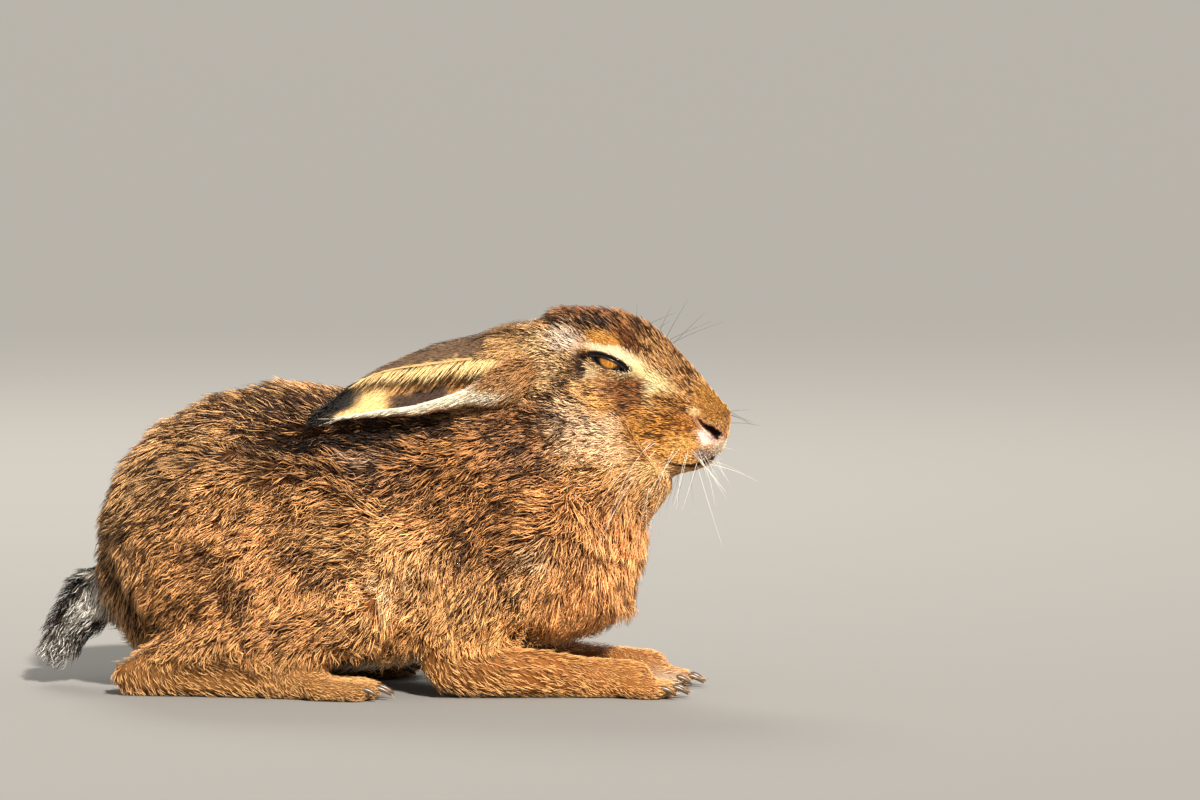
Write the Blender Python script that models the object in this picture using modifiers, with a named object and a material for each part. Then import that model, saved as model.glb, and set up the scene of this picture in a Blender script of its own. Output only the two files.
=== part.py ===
"""Brown hare lying low with its ears laid back, life size, in metres.

The animal faces +X, its left side is +Y and the ground is z = 0. The flesh is modelled whole from lofts,
ellipsoids and tapered limbs, fused and smoothed, and then parted with thin cuts into named nodes.
Ears are curved shells, eyes are globes in their sockets, and claws are fused to the paws.
"""

import math

import bmesh
import bpy
from mathutils import Euler, Matrix, Vector
from mathutils.bvhtree import BVHTree

# Driving dimensions
BODY_LENGTH = 0.300  # rump to breast
BACK_HEIGHT = 0.1675  # ground to the top of the back
BODY_WIDTH = 0.128  # across the ribs, without the thighs
RUMP_X = -0.166
HEAD_LENGTH = 0.113  # from the head's root to the nose
HEAD_DEPTH = 0.084
HEAD_WIDTH = 0.064
HEAD_PITCH = math.radians(22.0)  # how far the nose points down
HEAD_ROOT = Vector((0.070, 0.0, 0.175))
EAR_LENGTH = 0.120
EAR_ROOT = Vector((0.081, 0.0, 0.1805))
EYE_RADIUS = 0.0105
EYE_AT = (0.0408, 0.0195, 0.0236)  # in the head's axes
CLAW_LENGTH = 0.007  # past the toe
TOE_ARCH = 0.0027  # how the middle toes outreach the others
# The left legs' limbs: points along each and their radii
LIMBS = {
    "upper_arm": (
        ((0.088, 0.031, 0.092), (0.062, 0.037, 0.064), (0.034, 0.044, 0.032)),
        (0.031, 0.028, 0.018),
    ),
    "forearm": (
        ((0.034, 0.046, 0.019), (0.068, 0.042, 0.016), (0.106, 0.034, 0.0125)),
        (0.0175, 0.0155, 0.0125),
    ),
    "shank": (
        ((-0.020, 0.056, 0.050), (-0.072, 0.060, 0.036), (-0.122, 0.057, 0.022)),
        (0.026, 0.022, 0.015),
    ),
    "hind_foot": (
        ((-0.138, 0.057, 0.013), (-0.090, 0.060, 0.012), (-0.042, 0.063, 0.011)),
        (0.014, 0.0125, 0.013),
    ),
    "forepaw": (
        ((0.106, 0.034, 0.012), (0.130, 0.032, 0.0105)),
        (0.0125, 0.0120),
    ),
}
THIGH_AT, THIGH_RADII = (-0.068, 0.050, 0.077), (0.083, 0.031, 0.062)
THIGH_PITCH = math.radians(12.0)
TAIL = ((-0.145, 0.0, 0.066), (-0.172, 0.0, 0.048), (-0.190, 0.0, 0.022))
TAIL_RADII = (0.016, 0.020, 0.014)
# Toes of a left foot: start, length, spacing across and radius
TOES = {
    "hind_foot": ((-0.036, 0.0640, 0.0078), 0.023, 0.0078, 0.0068),
    "forepaw": ((0.130, 0.0320, 0.0072), 0.014, 0.0066, 0.0060),
}

# Making sizes
FUSE_VOXEL = 0.0016
CUT = 0.00035  # width of the thin cuts between nodes
GAP = 0.0004  # kept between an eye or an ear and what it sits in
LIP_SLIT = 0.0008
LID_REACH = 0.0104
LID_OPENING = 0.0040
NOSTRIL_RADII = (0.0010, 0.0021, 0.0013)
NOSTRIL = ((0.0965, 0.0112, 0.0006), (0.1030, 0.0090, 0.0012), (0.1090, 0.0050, 0.0006))
FLESH_TRIANGLES = 4350
FLOOR = 0.0015  # where the soles are cut flat, before the whole is set down
SMOOTHINGS = 60
WELD = 0.00002
SHARP = math.radians(48)
SEAM = 0.0005  # points nearer the middle plane than this are moved onto it
RING_POINTS = 28
REACH = 0.30  # how far a large cutter runs
COAT_COLOUR = (0.23, 0.14, 0.07)
EYE_COLOUR = (0.30, 0.16, 0.03)
BALL_SEGMENTS, BALL_RINGS = 20, 12
PRISM_POINTS = 40
ALMOND_POINTS = 24

# Body sections from rump to throat, as shares: top along and up, bottom along and up, half width
BODY_SECTIONS = (
    (0.013, 0.620, 0.003, 0.466, 0.22),
    (0.053, 0.764, 0.017, 0.263, 0.59),
    (0.120, 0.875, 0.067, 0.143, 0.81),
    (0.220, 0.958, 0.187, 0.084, 0.95),
    (0.333, 1.000, 0.327, 0.066, 1.00),
    (0.453, 0.979, 0.470, 0.072, 0.97),
    (0.563, 0.950, 0.613, 0.100, 0.91),
    (0.647, 0.940, 0.760, 0.143, 0.86),
    (0.700, 0.960, 0.887, 0.190, 0.80),
    (0.747, 1.010, 0.977, 0.262, 0.73),
    (0.790, 1.090, 1.010, 0.430, 0.66),
    (0.833, 1.150, 1.028, 0.585, 0.58),
    (0.877, 1.150, 1.044, 0.690, 0.47),
)
# Head sections from nape to nose, as shares: along, top, bottom, half width
HEAD_SECTIONS = (
    (-0.053, 0.365, 0.000, 0.44),
    (0.000, 0.465, -0.180, 0.75),
    (0.088, 0.512, -0.300, 0.88),
    (0.195, 0.555, -0.380, 0.93),
    (0.319, 0.580, -0.420, 0.92),
    (0.442, 0.582, -0.415, 0.86),
    (0.549, 0.541, -0.380, 0.76),
    (0.664, 0.465, -0.335, 0.64),
    (0.779, 0.389, -0.285, 0.56),
    (0.867, 0.330, -0.232, 0.46),
    (0.929, 0.276, -0.167, 0.35),
    (0.973, 0.206, -0.100, 0.25),
    (1.000, 0.107, -0.024, 0.13),
)
# Ear stations from root to tip: share along, drop of the centre, half height, half depth and distance from
# the midline in metres, angles of the front and back margins in degrees, and thickness of the wall
EAR_STATIONS = (
    (0.00, 0.0000, 0.0100, 0.0060, 0.0160, 3, 357, 0.0050),
    (0.07, 0.0000, 0.0165, 0.0095, 0.0175, 3, 357, 0.0080),
    (0.14, 0.0006, 0.0185, 0.0110, 0.0200, 5, 354, 0.0080),
    (0.23, 0.0026, 0.0186, 0.0112, 0.0225, 16, 334, 0.0045),
    (0.36, 0.0053, 0.0183, 0.0104, 0.0262, 26, 312, 0.0028),
    (0.56, 0.0104, 0.0180, 0.0092, 0.0322, 36, 302, 0.0024),
    (0.73, 0.0153, 0.0134, 0.0080, 0.0375, 58, 294, 0.0024),
    (0.87, 0.0212, 0.0086, 0.0060, 0.0420, 85, 284, 0.0022),
    (0.96, 0.0268, 0.0046, 0.0036, 0.0450, 98, 276, 0.0018),
    (1.00, 0.0300, 0.0022, 0.0018, 0.0460, 105, 270, 0.0010),
)
# The left half's swellings on the head, and those in its middle: centre in the head's axes and radii
SIDE_SWELLINGS = {
    "cheek": ((0.040, 0.0195, -0.012), (0.029, 0.0130, 0.0200)),
    "lids": (EYE_AT, (0.0142, 0.0130, 0.0122)),
    "jowl": ((0.056, 0.0110, -0.0245), (0.024, 0.0120, 0.0110)),
    "brow": ((0.038, 0.0120, 0.0355), (0.026, 0.0095, 0.0085)),
    "whisker_pad": ((0.091, 0.0095, -0.004), (0.018, 0.0085, 0.0135)),
    "ear_root": ((0.001, 0.0165, 0.0145), (0.018, 0.0125, 0.0145)),
}
MIDDLE_SWELLINGS = {
    "nose": ((0.1030, 0.0, 0.0130), (0.0090, 0.0095, 0.0115)),
    "chin": ((0.0770, 0.0, -0.0190), (0.0195, 0.0105, 0.0080)),
}
# The line between the lips, along and up in the head's axes
LIPS = ((0.0870, -0.0178), (0.0960, -0.0166), (0.1030, -0.0130), (0.1085, -0.0072), (0.1200, 0.0040))
EAR_ROWS, EAR_COLUMNS = 18, 10
EAR_LEAN = math.radians(20.0)  # the ear's top leans to the midline
EAR_FLARE = 0.30  # how much the back margin opens outward


def clear_scene():
    for obj in list(bpy.data.objects):
        bpy.data.objects.remove(obj, do_unlink=True)


def collection(name, hidden=False):
    made = bpy.data.collections.new(name)
    bpy.context.scene.collection.children.link(made)
    made.hide_render = hidden
    return made


def link(name, mesh, into):
    obj = bpy.data.objects.new(name, mesh)
    into.objects.link(obj)
    if into.hide_render:
        obj.hide_render = True
        obj.display_type = "WIRE"
    return obj


def material(name, colour, roughness):
    made = bpy.data.materials.new(name)
    made.use_nodes = True
    shader = made.node_tree.nodes["Principled BSDF"]
    shader.inputs["Base Color"].default_value = (*colour, 1.0)
    shader.inputs["Roughness"].default_value = roughness
    return made


def mesh_from(bm, name):
    mesh = bpy.data.meshes.new(name)
    bm.to_mesh(mesh)
    bm.free()
    return mesh


def apply_modifiers(obj):
    """Replaces the object's mesh by its evaluated one, and drops the modifiers."""
    graph = bpy.context.evaluated_depsgraph_get()
    mesh = bpy.data.meshes.new_from_object(obj.evaluated_get(graph))
    obj.modifiers.clear()
    obj.data = mesh


def head_point(along, side, up):
    """A point given in the head's own axes: along the muzzle, to the left, up."""
    turned = Vector((along, side, up))
    turned.rotate(Euler((0.0, HEAD_PITCH, 0.0)))
    return HEAD_ROOT + turned


def body_point(along, up):
    return Vector((RUMP_X + along * BODY_LENGTH, 0.0, up * BACK_HEIGHT))


def loft(rings):
    """A closed mesh through rings of equal point count, capped at both ends."""
    bm = bmesh.new()
    rows = [[bm.verts.new(point) for point in ring] for ring in rings]
    for low, high in zip(rows, rows[1:]):
        for i in range(len(low)):
            j = (i + 1) % len(low)
            bm.faces.new((low[i], low[j], high[j], high[i]))
    bm.faces.new(reversed(rows[0]))
    bm.faces.new(rows[-1])
    bmesh.ops.recalc_face_normals(bm, faces=bm.faces)
    return mesh_from(bm, "loft")


def oval_ring(top, bottom, half_width, squareness, sag):
    """A ring across the body between a top and a bottom point, widest a little below its middle."""
    centre, upright = (top + bottom) / 2, (top - bottom) / 2
    points = []
    for i in range(RING_POINTS):
        angle = math.tau * i / RING_POINTS
        c, s = math.cos(angle), math.sin(angle)
        across = math.copysign(abs(c) ** (2 / squareness), c)
        lift = math.copysign(abs(s) ** (2 / squareness), s)
        side = Vector((0.0, half_width * across * (1 - sag * lift), 0.0))
        points.append(centre + upright * lift + side)
    return points


def ellipsoid(centre, radii, into, pitch=0.0):
    """A UV sphere scaled to three radii, turned nose down by pitch."""
    bm = bmesh.new()
    bmesh.ops.create_uvsphere(bm, u_segments=BALL_SEGMENTS, v_segments=BALL_RINGS, radius=1.0)
    turn = Euler((0.0, pitch, 0.0)).to_matrix().to_4x4()
    place = Matrix.Translation(centre) @ turn @ Matrix.Diagonal((*radii, 1.0))
    bmesh.ops.transform(bm, matrix=place, verts=bm.verts)
    return link("ellipsoid", mesh_from(bm, "ellipsoid"), into)


def tube(points, radii, into, sides=3, steps=4):
    """A tapered tube with closed ends through the points, as a mesh object."""
    curve = bpy.data.curves.new("tube", "CURVE")
    curve.dimensions = "3D"
    curve.bevel_depth = 1.0
    curve.bevel_resolution = sides
    curve.resolution_u = steps
    curve.use_fill_caps = True
    spline = curve.splines.new("BEZIER")
    spline.bezier_points.add(len(points) - 1)
    for knot, point, radius in zip(spline.bezier_points, points, radii):
        knot.co = point
        knot.radius = radius
        knot.handle_left_type = knot.handle_right_type = "AUTO"
    drawn = link("tube", curve, into)
    graph = bpy.context.evaluated_depsgraph_get()
    mesh = bpy.data.meshes.new_from_object(drawn.evaluated_get(graph))
    bpy.data.objects.remove(drawn)
    bm = bmesh.new()
    bm.from_mesh(mesh)
    bmesh.ops.remove_doubles(bm, verts=bm.verts, dist=1e-6)
    bm.to_mesh(mesh)
    bm.free()
    return link("tube", mesh, into)


def limb(points, radii, into):
    """A tube with round ends."""
    tube(points, radii, into)
    for end in (0, -1):
        ellipsoid(points[end], (radii[end],) * 3, into)


def solid_limb(points, radii, into):
    """A tube with round ends as one closed solid."""
    made = tube(points, radii, into)
    for end in (0, -1):
        boolean(made, ellipsoid(points[end], (1.02 * radii[end],) * 3, into), "UNION")
    return made


def body_forms(into):
    rings = [
        oval_ring(body_point(tx, tz), body_point(bx, bz), share * BODY_WIDTH / 2, 2.3, 0.12)
        for tx, tz, bx, bz, share in BODY_SECTIONS
    ]
    link("trunk", loft(rings), into)
    limb([Vector(point) for point in TAIL], TAIL_RADII, into)


def head_forms(into):
    rings = []
    for along, top, bottom, share in HEAD_SECTIONS:
        x = along * HEAD_LENGTH
        high, low = head_point(x, 0, top * HEAD_DEPTH), head_point(x, 0, bottom * HEAD_DEPTH)
        rings.append(oval_ring(high, low, share * HEAD_WIDTH / 2, 2.2, 0.16))
    link("skull", loft(rings), into)
    for place, radii in (*SIDE_SWELLINGS.values(), *MIDDLE_SWELLINGS.values()):
        ellipsoid(head_point(*place), radii, into, HEAD_PITCH)


def leg_forms(into):
    """The left legs, as overlapping limbs."""
    for points, radii in LIMBS.values():
        limb([Vector(point) for point in points], radii, into)
    ellipsoid(Vector(THIGH_AT), THIGH_RADII, into, THIGH_PITCH)
    for foot in TOES:
        for root, tip, radius in toes(foot):
            limb([root, tip], (radius, 0.94 * radius), into)


def toes(foot):
    """The four toes of a left foot, each as its root, its tip and its radius."""
    start, length, spacing, radius = TOES[foot]
    made = []
    for step in (-1.5, -0.5, 0.5, 1.5):
        root = Vector((start[0], start[1] + spacing * step, start[2]))
        reach = length + TOE_ARCH * (2.25 - step * step)
        made.append((root, root + Vector((reach, spacing * step * 0.25, -0.001)), radius))
    return made


def nearness(point, centre, whole, fade):
    """1 within `whole` of the centre, falling to 0 over `fade`."""
    return min(1.0, max(0.0, 1.0 - ((point - centre).length - whole) / fade))


def softness(point):
    """How much the fused flesh is smoothed at a point: less on the face and the feet."""
    face = nearness(point, head_point(0.078, 0, 0.006), 0.050, 0.014)
    feet = min(1.0, max(0.0, (0.027 - point.z) / 0.006))
    return 1.0 - 0.88 * max(face, feet)


def plainness(point):
    """How readily triangles are merged at a point: least on the face and the toes, less on the head."""
    face = nearness(point, head_point(0.078, 0, 0.006), 0.050, 0.014)
    toe = max(nearness(point, toes(foot)[1][0], 0.030, 0.010) for foot in TOES)
    head = nearness(point, head_point(0.030, 0, 0.010), 0.060, 0.020)
    return 1.0 - max(0.62 * face, 0.50 * toe, 0.40 * head)


def weigh(obj, name, rule):
    group = obj.vertex_groups.new(name=name)
    for vertex in obj.data.vertices:
        group.add([vertex.index], rule(vertex.co), "REPLACE")
    return group.name


def halve(mesh):
    """Keeps the left half of a mesh, with its open edge exactly on the middle plane."""
    bm = bmesh.new()
    bm.from_mesh(mesh)
    for vertex in bm.verts:
        if abs(vertex.co.y) < SEAM:
            vertex.co.y = 0.0
    geom = bm.verts[:] + bm.edges[:] + bm.faces[:]
    bmesh.ops.bisect_plane(bm, geom=geom, dist=1e-7, plane_co=(0, 0, 0), plane_no=(0, 1, 0), clear_inner=True)
    flat = [face for face in bm.faces if all(vertex.co.y == 0.0 for vertex in face.verts)]
    bmesh.ops.delete(bm, geom=flat, context="FACES")
    bm.to_mesh(mesh)
    bm.free()


def fused(shapes, cutters, into):
    """One closed surface round all the shapes, smoothed, alike left and right, with few triangles."""
    bm = bmesh.new()
    for obj in list(shapes.objects):
        bm.from_mesh(obj.data)
        bpy.data.objects.remove(obj)
    flesh = link("flesh", mesh_from(bm, "flesh"), into)
    remesh = flesh.modifiers.new("fuse", "REMESH")
    remesh.mode = "VOXEL"
    remesh.voxel_size = FUSE_VOXEL
    apply_modifiers(flesh)
    smooth = flesh.modifiers.new("smooth", "SMOOTH")
    smooth.iterations = SMOOTHINGS
    smooth.vertex_group = weigh(flesh, "soft", softness)
    fewer = flesh.modifiers.new("fewer", "DECIMATE")
    fewer.ratio = FLESH_TRIANGLES / (2 * len(flesh.data.polygons))
    fewer.vertex_group = weigh(flesh, "plain", plainness)
    fewer.vertex_group_factor = 1.0
    apply_modifiers(flesh)
    boolean(flesh, box((-REACH, -REACH, -REACH), (REACH, REACH, FLOOR), cutters), "DIFFERENCE")
    halve(flesh.data)
    mirror = flesh.modifiers.new("mirror", "MIRROR")
    mirror.use_axis = (False, True, False)
    mirror.merge_threshold = 0.00001
    apply_modifiers(flesh)
    flesh.vertex_groups.clear()
    return flesh


def boolean(obj, other, operation):
    step = obj.modifiers.new(operation.lower(), "BOOLEAN")
    step.object = other
    step.operation = operation
    step.solver = "MANIFOLD"
    apply_modifiers(obj)
    bm = bmesh.new()
    bm.from_mesh(obj.data)
    bmesh.ops.triangulate(bm, faces=bm.faces)
    bmesh.ops.remove_doubles(bm, verts=bm.verts, dist=WELD)
    bmesh.ops.dissolve_degenerate(bm, edges=bm.edges, dist=WELD)
    bmesh.ops.triangulate(bm, faces=bm.faces)
    bm.to_mesh(obj.data)
    bm.free()


def keep_largest(obj):
    """Drops every closed surface of the mesh but the largest."""
    bm = bmesh.new()
    bm.from_mesh(obj.data)
    left, shells = set(bm.verts), []
    while left:
        shell, edge = set(), {next(iter(left))}
        while edge:
            shell |= edge
            edge = {e.other_vert(v) for v in edge for e in v.link_edges} - shell
        shells.append(shell)
        left -= shell
    shells.sort(key=len)
    for shell in shells[:-1]:
        bmesh.ops.delete(bm, geom=list(shell), context="VERTS")
    bm.to_mesh(obj.data)
    bm.free()


def copied(obj, name, into):
    return link(name, obj.data.copy(), into)


def prism(centre, radii, near, into, pitch=0.0, inset=0.0):
    """An elliptic prism seen from the side, from y = near outward on the left."""
    x, z = centre
    rings = []
    for y in (near + inset, REACH):
        ring = []
        for i in range(PRISM_POINTS):
            angle = math.tau * i / PRISM_POINTS
            spot = Vector(((radii[0] - inset) * math.cos(angle), 0.0, (radii[1] - inset) * math.sin(angle)))
            spot.rotate(Euler((0.0, pitch, 0.0)))
            ring.append(spot + Vector((x, y, z)))
        rings.append(ring)
    return link("prism", loft(rings), into)


def half_space(point, normal, into, inset=0.0):
    """A large block filling everything past a plane."""
    bm = bmesh.new()
    bmesh.ops.create_cube(bm, size=2 * REACH)
    turn = normal.to_track_quat("Z", "Y").to_matrix().to_4x4()
    place = Matrix.Translation(point + normal * (REACH + inset)) @ turn
    bmesh.ops.transform(bm, matrix=place, verts=bm.verts)
    return link("half_space", mesh_from(bm, "half_space"), into)


def box(low, high, into):
    bm = bmesh.new()
    bmesh.ops.create_cube(bm, size=1.0)
    low, high = Vector(low), Vector(high)
    size = high - low
    place = Matrix.Translation((low + high) / 2) @ Matrix.Diagonal((*size, 1.0))
    bmesh.ops.transform(bm, matrix=place, verts=bm.verts)
    return link("box", mesh_from(bm, "box"), into)


def mirrored(obj, name, into):
    made = copied(obj, name, into)
    made.data.transform(Matrix.Diagonal((1.0, -1.0, 1.0, 1.0)))
    made.data.flip_normals()
    return made


def parted(flesh, name, region, cutters, into, both_sides=False):
    """Takes the part of the flesh inside a region as a node. `region` makes its solid, given an inset."""
    node = copied(flesh, name, into)
    boolean(node, region(cutters, CUT), "INTERSECT")
    keep_largest(node)
    taken = region(cutters, 0.0)
    boolean(flesh, taken, "DIFFERENCE")
    if both_sides:
        boolean(flesh, mirrored(taken, "taken", cutters), "DIFFERENCE")
    keep_largest(flesh)
    return node


def paw_region(into, inset):
    return box((0.104 + inset, 0.012, -0.05), (0.25, REACH, 0.029), into)


def foot_region(into, inset):
    return box((-0.20, 0.034 + inset, -0.05), (0.008 - inset, REACH, 0.0255 - inset), into)


def forearm_region(into, inset):
    return prism((0.062, 0.012), (0.056, 0.027), 0.020, into, 0.0, inset)


def shank_region(into, inset):
    return prism((-0.070, 0.034), (0.076, 0.021), 0.036, into, math.radians(-14), inset)


def thigh_region(into, inset):
    return prism((-0.072, 0.078), (0.088, 0.066), 0.034, into, math.radians(12), inset)


def upper_arm_region(into, inset):
    return prism((0.066, 0.074), (0.054, 0.035), 0.026, into, math.radians(-50), inset)


LEG_REGIONS = {
    "forepaw": paw_region,
    "hind_foot": foot_region,
    "forearm": forearm_region,
    "shank": shank_region,
    "thigh": thigh_region,
    "upper_arm": upper_arm_region,
}


def tail_region(into, inset):
    radii = [radius - inset for radius in (0.030, 0.030, 0.044)]
    return ellipsoid(Vector((-0.183, 0, 0.034)), radii, into, math.radians(33))


def head_region(into, inset):
    return half_space(Vector((0.042, 0, 0.190)), Vector((0.611, 0, 0.792)), into, inset)


def neck_region(into, inset):
    return half_space(Vector((0.030, 0, 0.160)), Vector((0.509, 0, 0.861)), into, inset)


def almond(into):
    """The opening between the left eye's lids, as a lens-shaped prism through them."""
    rings = []
    for y in (EYE_AT[1] - 0.004, EYE_AT[1] + 0.030):
        ring = []
        for i in range(ALMOND_POINTS):
            angle = math.tau * i / ALMOND_POINTS
            c, s = math.cos(angle), math.sin(angle)
            up = LID_OPENING * s * abs(s) ** 0.35
            ring.append(head_point(EYE_AT[0] + LID_REACH * c, y, EYE_AT[2] - 0.0008 + up))
        rings.append(ring)
    return link("almond", loft(rings), into)


def mouth_slit(into):
    """A thin curved blade that parts the lips."""
    rings = []
    for y in (-HEAD_WIDTH / 2, HEAD_WIDTH / 2):
        upper = [head_point(along, y, up + LIP_SLIT / 2) for along, up in LIPS]
        lower = [head_point(along, y, up - LIP_SLIT / 2) for along, up in reversed(LIPS)]
        rings.append(upper + lower)
    return link("mouth", loft(rings), into)


def on_side(tree, along, up, depth):
    """A point this deep under the head's left side at a place given in the head's axes."""
    hit = tree.ray_cast(head_point(along, 0.10, up), Vector((0, -1, 0)))[0]
    return hit - Vector((0, depth, 0))


def carve_face(head, cutters):
    """Sockets, lid openings, nostrils, the line of the mouth and the cleft of the upper lip."""
    bm = bmesh.new()
    bm.from_mesh(head.data)
    tree = BVHTree.FromBMesh(bm)
    bm.free()
    nostril = [on_side(tree, *spot) for spot in NOSTRIL]
    holes = [
        ellipsoid(head_point(*EYE_AT), (EYE_RADIUS + GAP,) * 3, cutters),
        almond(cutters),
        solid_limb(nostril, NOSTRIL_RADII, cutters),
    ]
    for hole in holes:
        boolean(head, hole, "DIFFERENCE")
        boolean(head, mirrored(hole, "hole", cutters), "DIFFERENCE")
    boolean(head, mouth_slit(cutters), "DIFFERENCE")
    cleft = [head_point(0.110, 0, -0.006), head_point(0.112, 0, 0.0045)]
    boolean(head, tube(cleft, (0.0007, 0.0006), cutters, 1), "DIFFERENCE")
    keep_largest(head)


def ear_mesh():
    """An ear as a curved trough: closed round its root, open to the side, running out to a point."""
    rings = []
    for row in range(EAR_ROWS + 1):
        share = row / EAR_ROWS
        drop, high, deep, across, front, back, wall = station(share)
        centre = Vector((EAR_ROOT.x - share * EAR_LENGTH, across, EAR_ROOT.z - drop))
        outer, inner = [], []
        for column in range(EAR_COLUMNS + 1):
            step = column / EAR_COLUMNS
            angle = math.radians(front + (back - front) * step)
            flare = 1 + EAR_FLARE * max(0.0, step - 0.75) * 4 * min(1.0, share * 4)
            for arc, thick in ((outer, 0.0), (inner, wall)):
                y = (deep - thick) * math.cos(angle) * flare
                z = (high - thick) * math.sin(angle)
                lean_y = y * math.cos(EAR_LEAN) - z * math.sin(EAR_LEAN)
                lean_z = y * math.sin(EAR_LEAN) + z * math.cos(EAR_LEAN)
                arc.append(centre + Vector((0.0, lean_y, lean_z)))
        rings.append(outer + inner[::-1])
    return loft(rings)


def station(share):
    """The ear's measures at a share of its length, between the stations of its table."""
    for low, high in zip(EAR_STATIONS, EAR_STATIONS[1:]):
        if share <= high[0]:
            part = (share - low[0]) / (high[0] - low[0])
            return [a + (b - a) * part for a, b in zip(low[1:], high[1:])]
    return EAR_STATIONS[-1][1:]


def add_claws(foot, kind, cutters):
    """Fuses a curved claw to each toe, its root inside the toe."""
    for _, tip, radius in toes(kind):
        reach = radius + CLAW_LENGTH
        points = [tip, tip + Vector((0.6 * reach, 0, 0.0010)), tip + Vector((reach, 0, -0.0022))]
        boolean(foot, tube(points, (0.0020, 0.0016, 0.0005), cutters, 1, 2), "UNION")
    keep_largest(foot)


def finish(nodes):
    """Sets the animal down with its footprint's middle at the origin, and gives every node a material."""
    spots = [vertex.co for node in nodes for vertex in node.data.vertices]
    low = Vector([min(spot[axis] for spot in spots) for axis in range(3)])
    high = Vector([max(spot[axis] for spot in spots) for axis in range(3)])
    move = Matrix.Translation((-(low.x + high.x) / 2, -(low.y + high.y) / 2, -low.z))
    for node in nodes:
        node.data.transform(move)
        eye = node.name.startswith("eye")
        colour, roughness = (EYE_COLOUR, 0.15) if eye else (COAT_COLOUR, 0.85)
        node.data.materials.clear()
        node.data.materials.append(material(node.name, colour, roughness))
        for face in node.data.polygons:
            face.use_smooth = True
        node.data.set_sharp_from_angle(angle=SHARP)


def build():
    clear_scene()
    shapes = collection("shapes", hidden=True)
    cutters = collection("cutters", hidden=True)
    hare = collection("brown_hare")
    body_forms(shapes)
    head_forms(shapes)
    leg_forms(shapes)
    torso = fused(shapes, cutters, hare)
    torso.name = "torso"
    grown = copied(torso, "grown", cutters)
    grow = grown.modifiers.new("grow", "DISPLACE")
    grow.strength = GAP
    grow.mid_level = 0.0
    apply_modifiers(grown)
    head = parted(torso, "head", head_region, cutters, hare)
    carve_face(head, cutters)
    parted(torso, "neck", neck_region, cutters, hare)
    parted(torso, "tail", tail_region, cutters, hare)
    sides = [parted(torso, name, region, cutters, hare, True) for name, region in LEG_REGIONS.items()]
    for foot in sides:
        if foot.name in TOES:
            add_claws(foot, foot.name, cutters)
    ear = link("ear", ear_mesh(), hare)
    boolean(ear, grown, "DIFFERENCE")
    keep_largest(ear)
    eye = ellipsoid(head_point(*EYE_AT), (EYE_RADIUS,) * 3, hare)
    eye.name = "eye"
    for node in (*sides, ear, eye):
        mirrored(node, f"{node.name}_right", hare)
        node.name += "_left"
    finish(hare.objects)


build()
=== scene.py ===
"""Looks of the brown hare: one skin under a coat of fur tufts, ears, eyes, claws and whiskers.

All measures are in metres. The animal faces +X, its left side is +Y and the ground is z = 0.
"""

import math

import bmesh
import bpy
import numpy as np
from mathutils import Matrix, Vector
from mathutils.bvhtree import BVHTree
from mathutils.kdtree import KDTree


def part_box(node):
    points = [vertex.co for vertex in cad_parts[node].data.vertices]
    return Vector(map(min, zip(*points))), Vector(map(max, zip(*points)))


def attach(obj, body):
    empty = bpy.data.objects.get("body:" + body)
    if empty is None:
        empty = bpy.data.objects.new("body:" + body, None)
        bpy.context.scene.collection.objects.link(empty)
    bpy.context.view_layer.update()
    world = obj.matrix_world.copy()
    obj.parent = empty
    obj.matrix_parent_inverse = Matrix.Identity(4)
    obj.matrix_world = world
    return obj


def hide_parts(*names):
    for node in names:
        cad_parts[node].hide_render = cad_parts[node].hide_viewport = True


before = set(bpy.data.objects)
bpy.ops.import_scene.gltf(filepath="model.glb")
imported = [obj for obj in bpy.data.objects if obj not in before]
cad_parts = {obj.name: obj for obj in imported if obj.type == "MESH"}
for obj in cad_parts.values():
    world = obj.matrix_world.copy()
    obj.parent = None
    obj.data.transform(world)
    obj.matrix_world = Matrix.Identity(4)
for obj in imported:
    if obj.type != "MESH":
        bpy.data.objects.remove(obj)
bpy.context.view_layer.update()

LIMBS = ("upper_arm", "forearm", "forepaw", "thigh", "shank", "hind_foot")
SIDES = ("left", "right")
FLESH = ("head", "neck", "torso", "tail", *(f"{limb}_{side}" for limb in LIMBS for side in SIDES))
SEED = 11

# Skin
CLOSING = 0.00045  # each node grows by this, so that the thin cuts between nodes close
VOXEL = 0.0015
HEAD_PITCH = math.radians(22.0)
EYE_IN_HEAD = np.array((0.0408, 0.0195, 0.0236))
EYE_RADIUS = 0.0105
LID_REACH, LID_OPENING, LID_LIFT = 0.0098, 0.0025, -0.0009
# The dark leaf reaches further above the opening than below: that band is dark bare skin and also painted
# shade of the upper lid.
LEAF_REACH, LEAF_OPENING, LEAF_LIFT = 0.0128, 0.0041, 0.0003


def corners(node):
    low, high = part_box(node)
    return np.array(low), np.array(high)


EYE = sum(corners("eye_left")) / 2
TURN = np.array(
    (
        (math.cos(HEAD_PITCH), 0.0, -math.sin(HEAD_PITCH)),
        (0.0, 1.0, 0.0),
        (math.sin(HEAD_PITCH), 0.0, math.cos(HEAD_PITCH)),
    )
)  # rows: the head's own axes, along the muzzle, to the left and up
HEAD_ROOT = EYE - EYE_IN_HEAD @ TURN


def to_head(points):
    """World points in the head's axes, with the right side folded onto the left."""
    local = (points - HEAD_ROOT) @ TURN.T
    local[:, 1] = np.abs(local[:, 1])
    return local


def from_head(points):
    return np.asarray(points, float) @ TURN + HEAD_ROOT


def folded(points):
    """Points with the right side folded onto the left."""
    return points * (1, 0, 1) + np.abs(points) * (0, 1, 0)


# Tables are written as text. A line with a # in it is a remark.


def table(text):
    """For each row its first word and an array of its numbers."""
    rows = (line.split() for line in text.strip().splitlines() if "#" not in line)
    return [(word, np.array(numbers, float)) for word, *numbers in rows]


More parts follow.
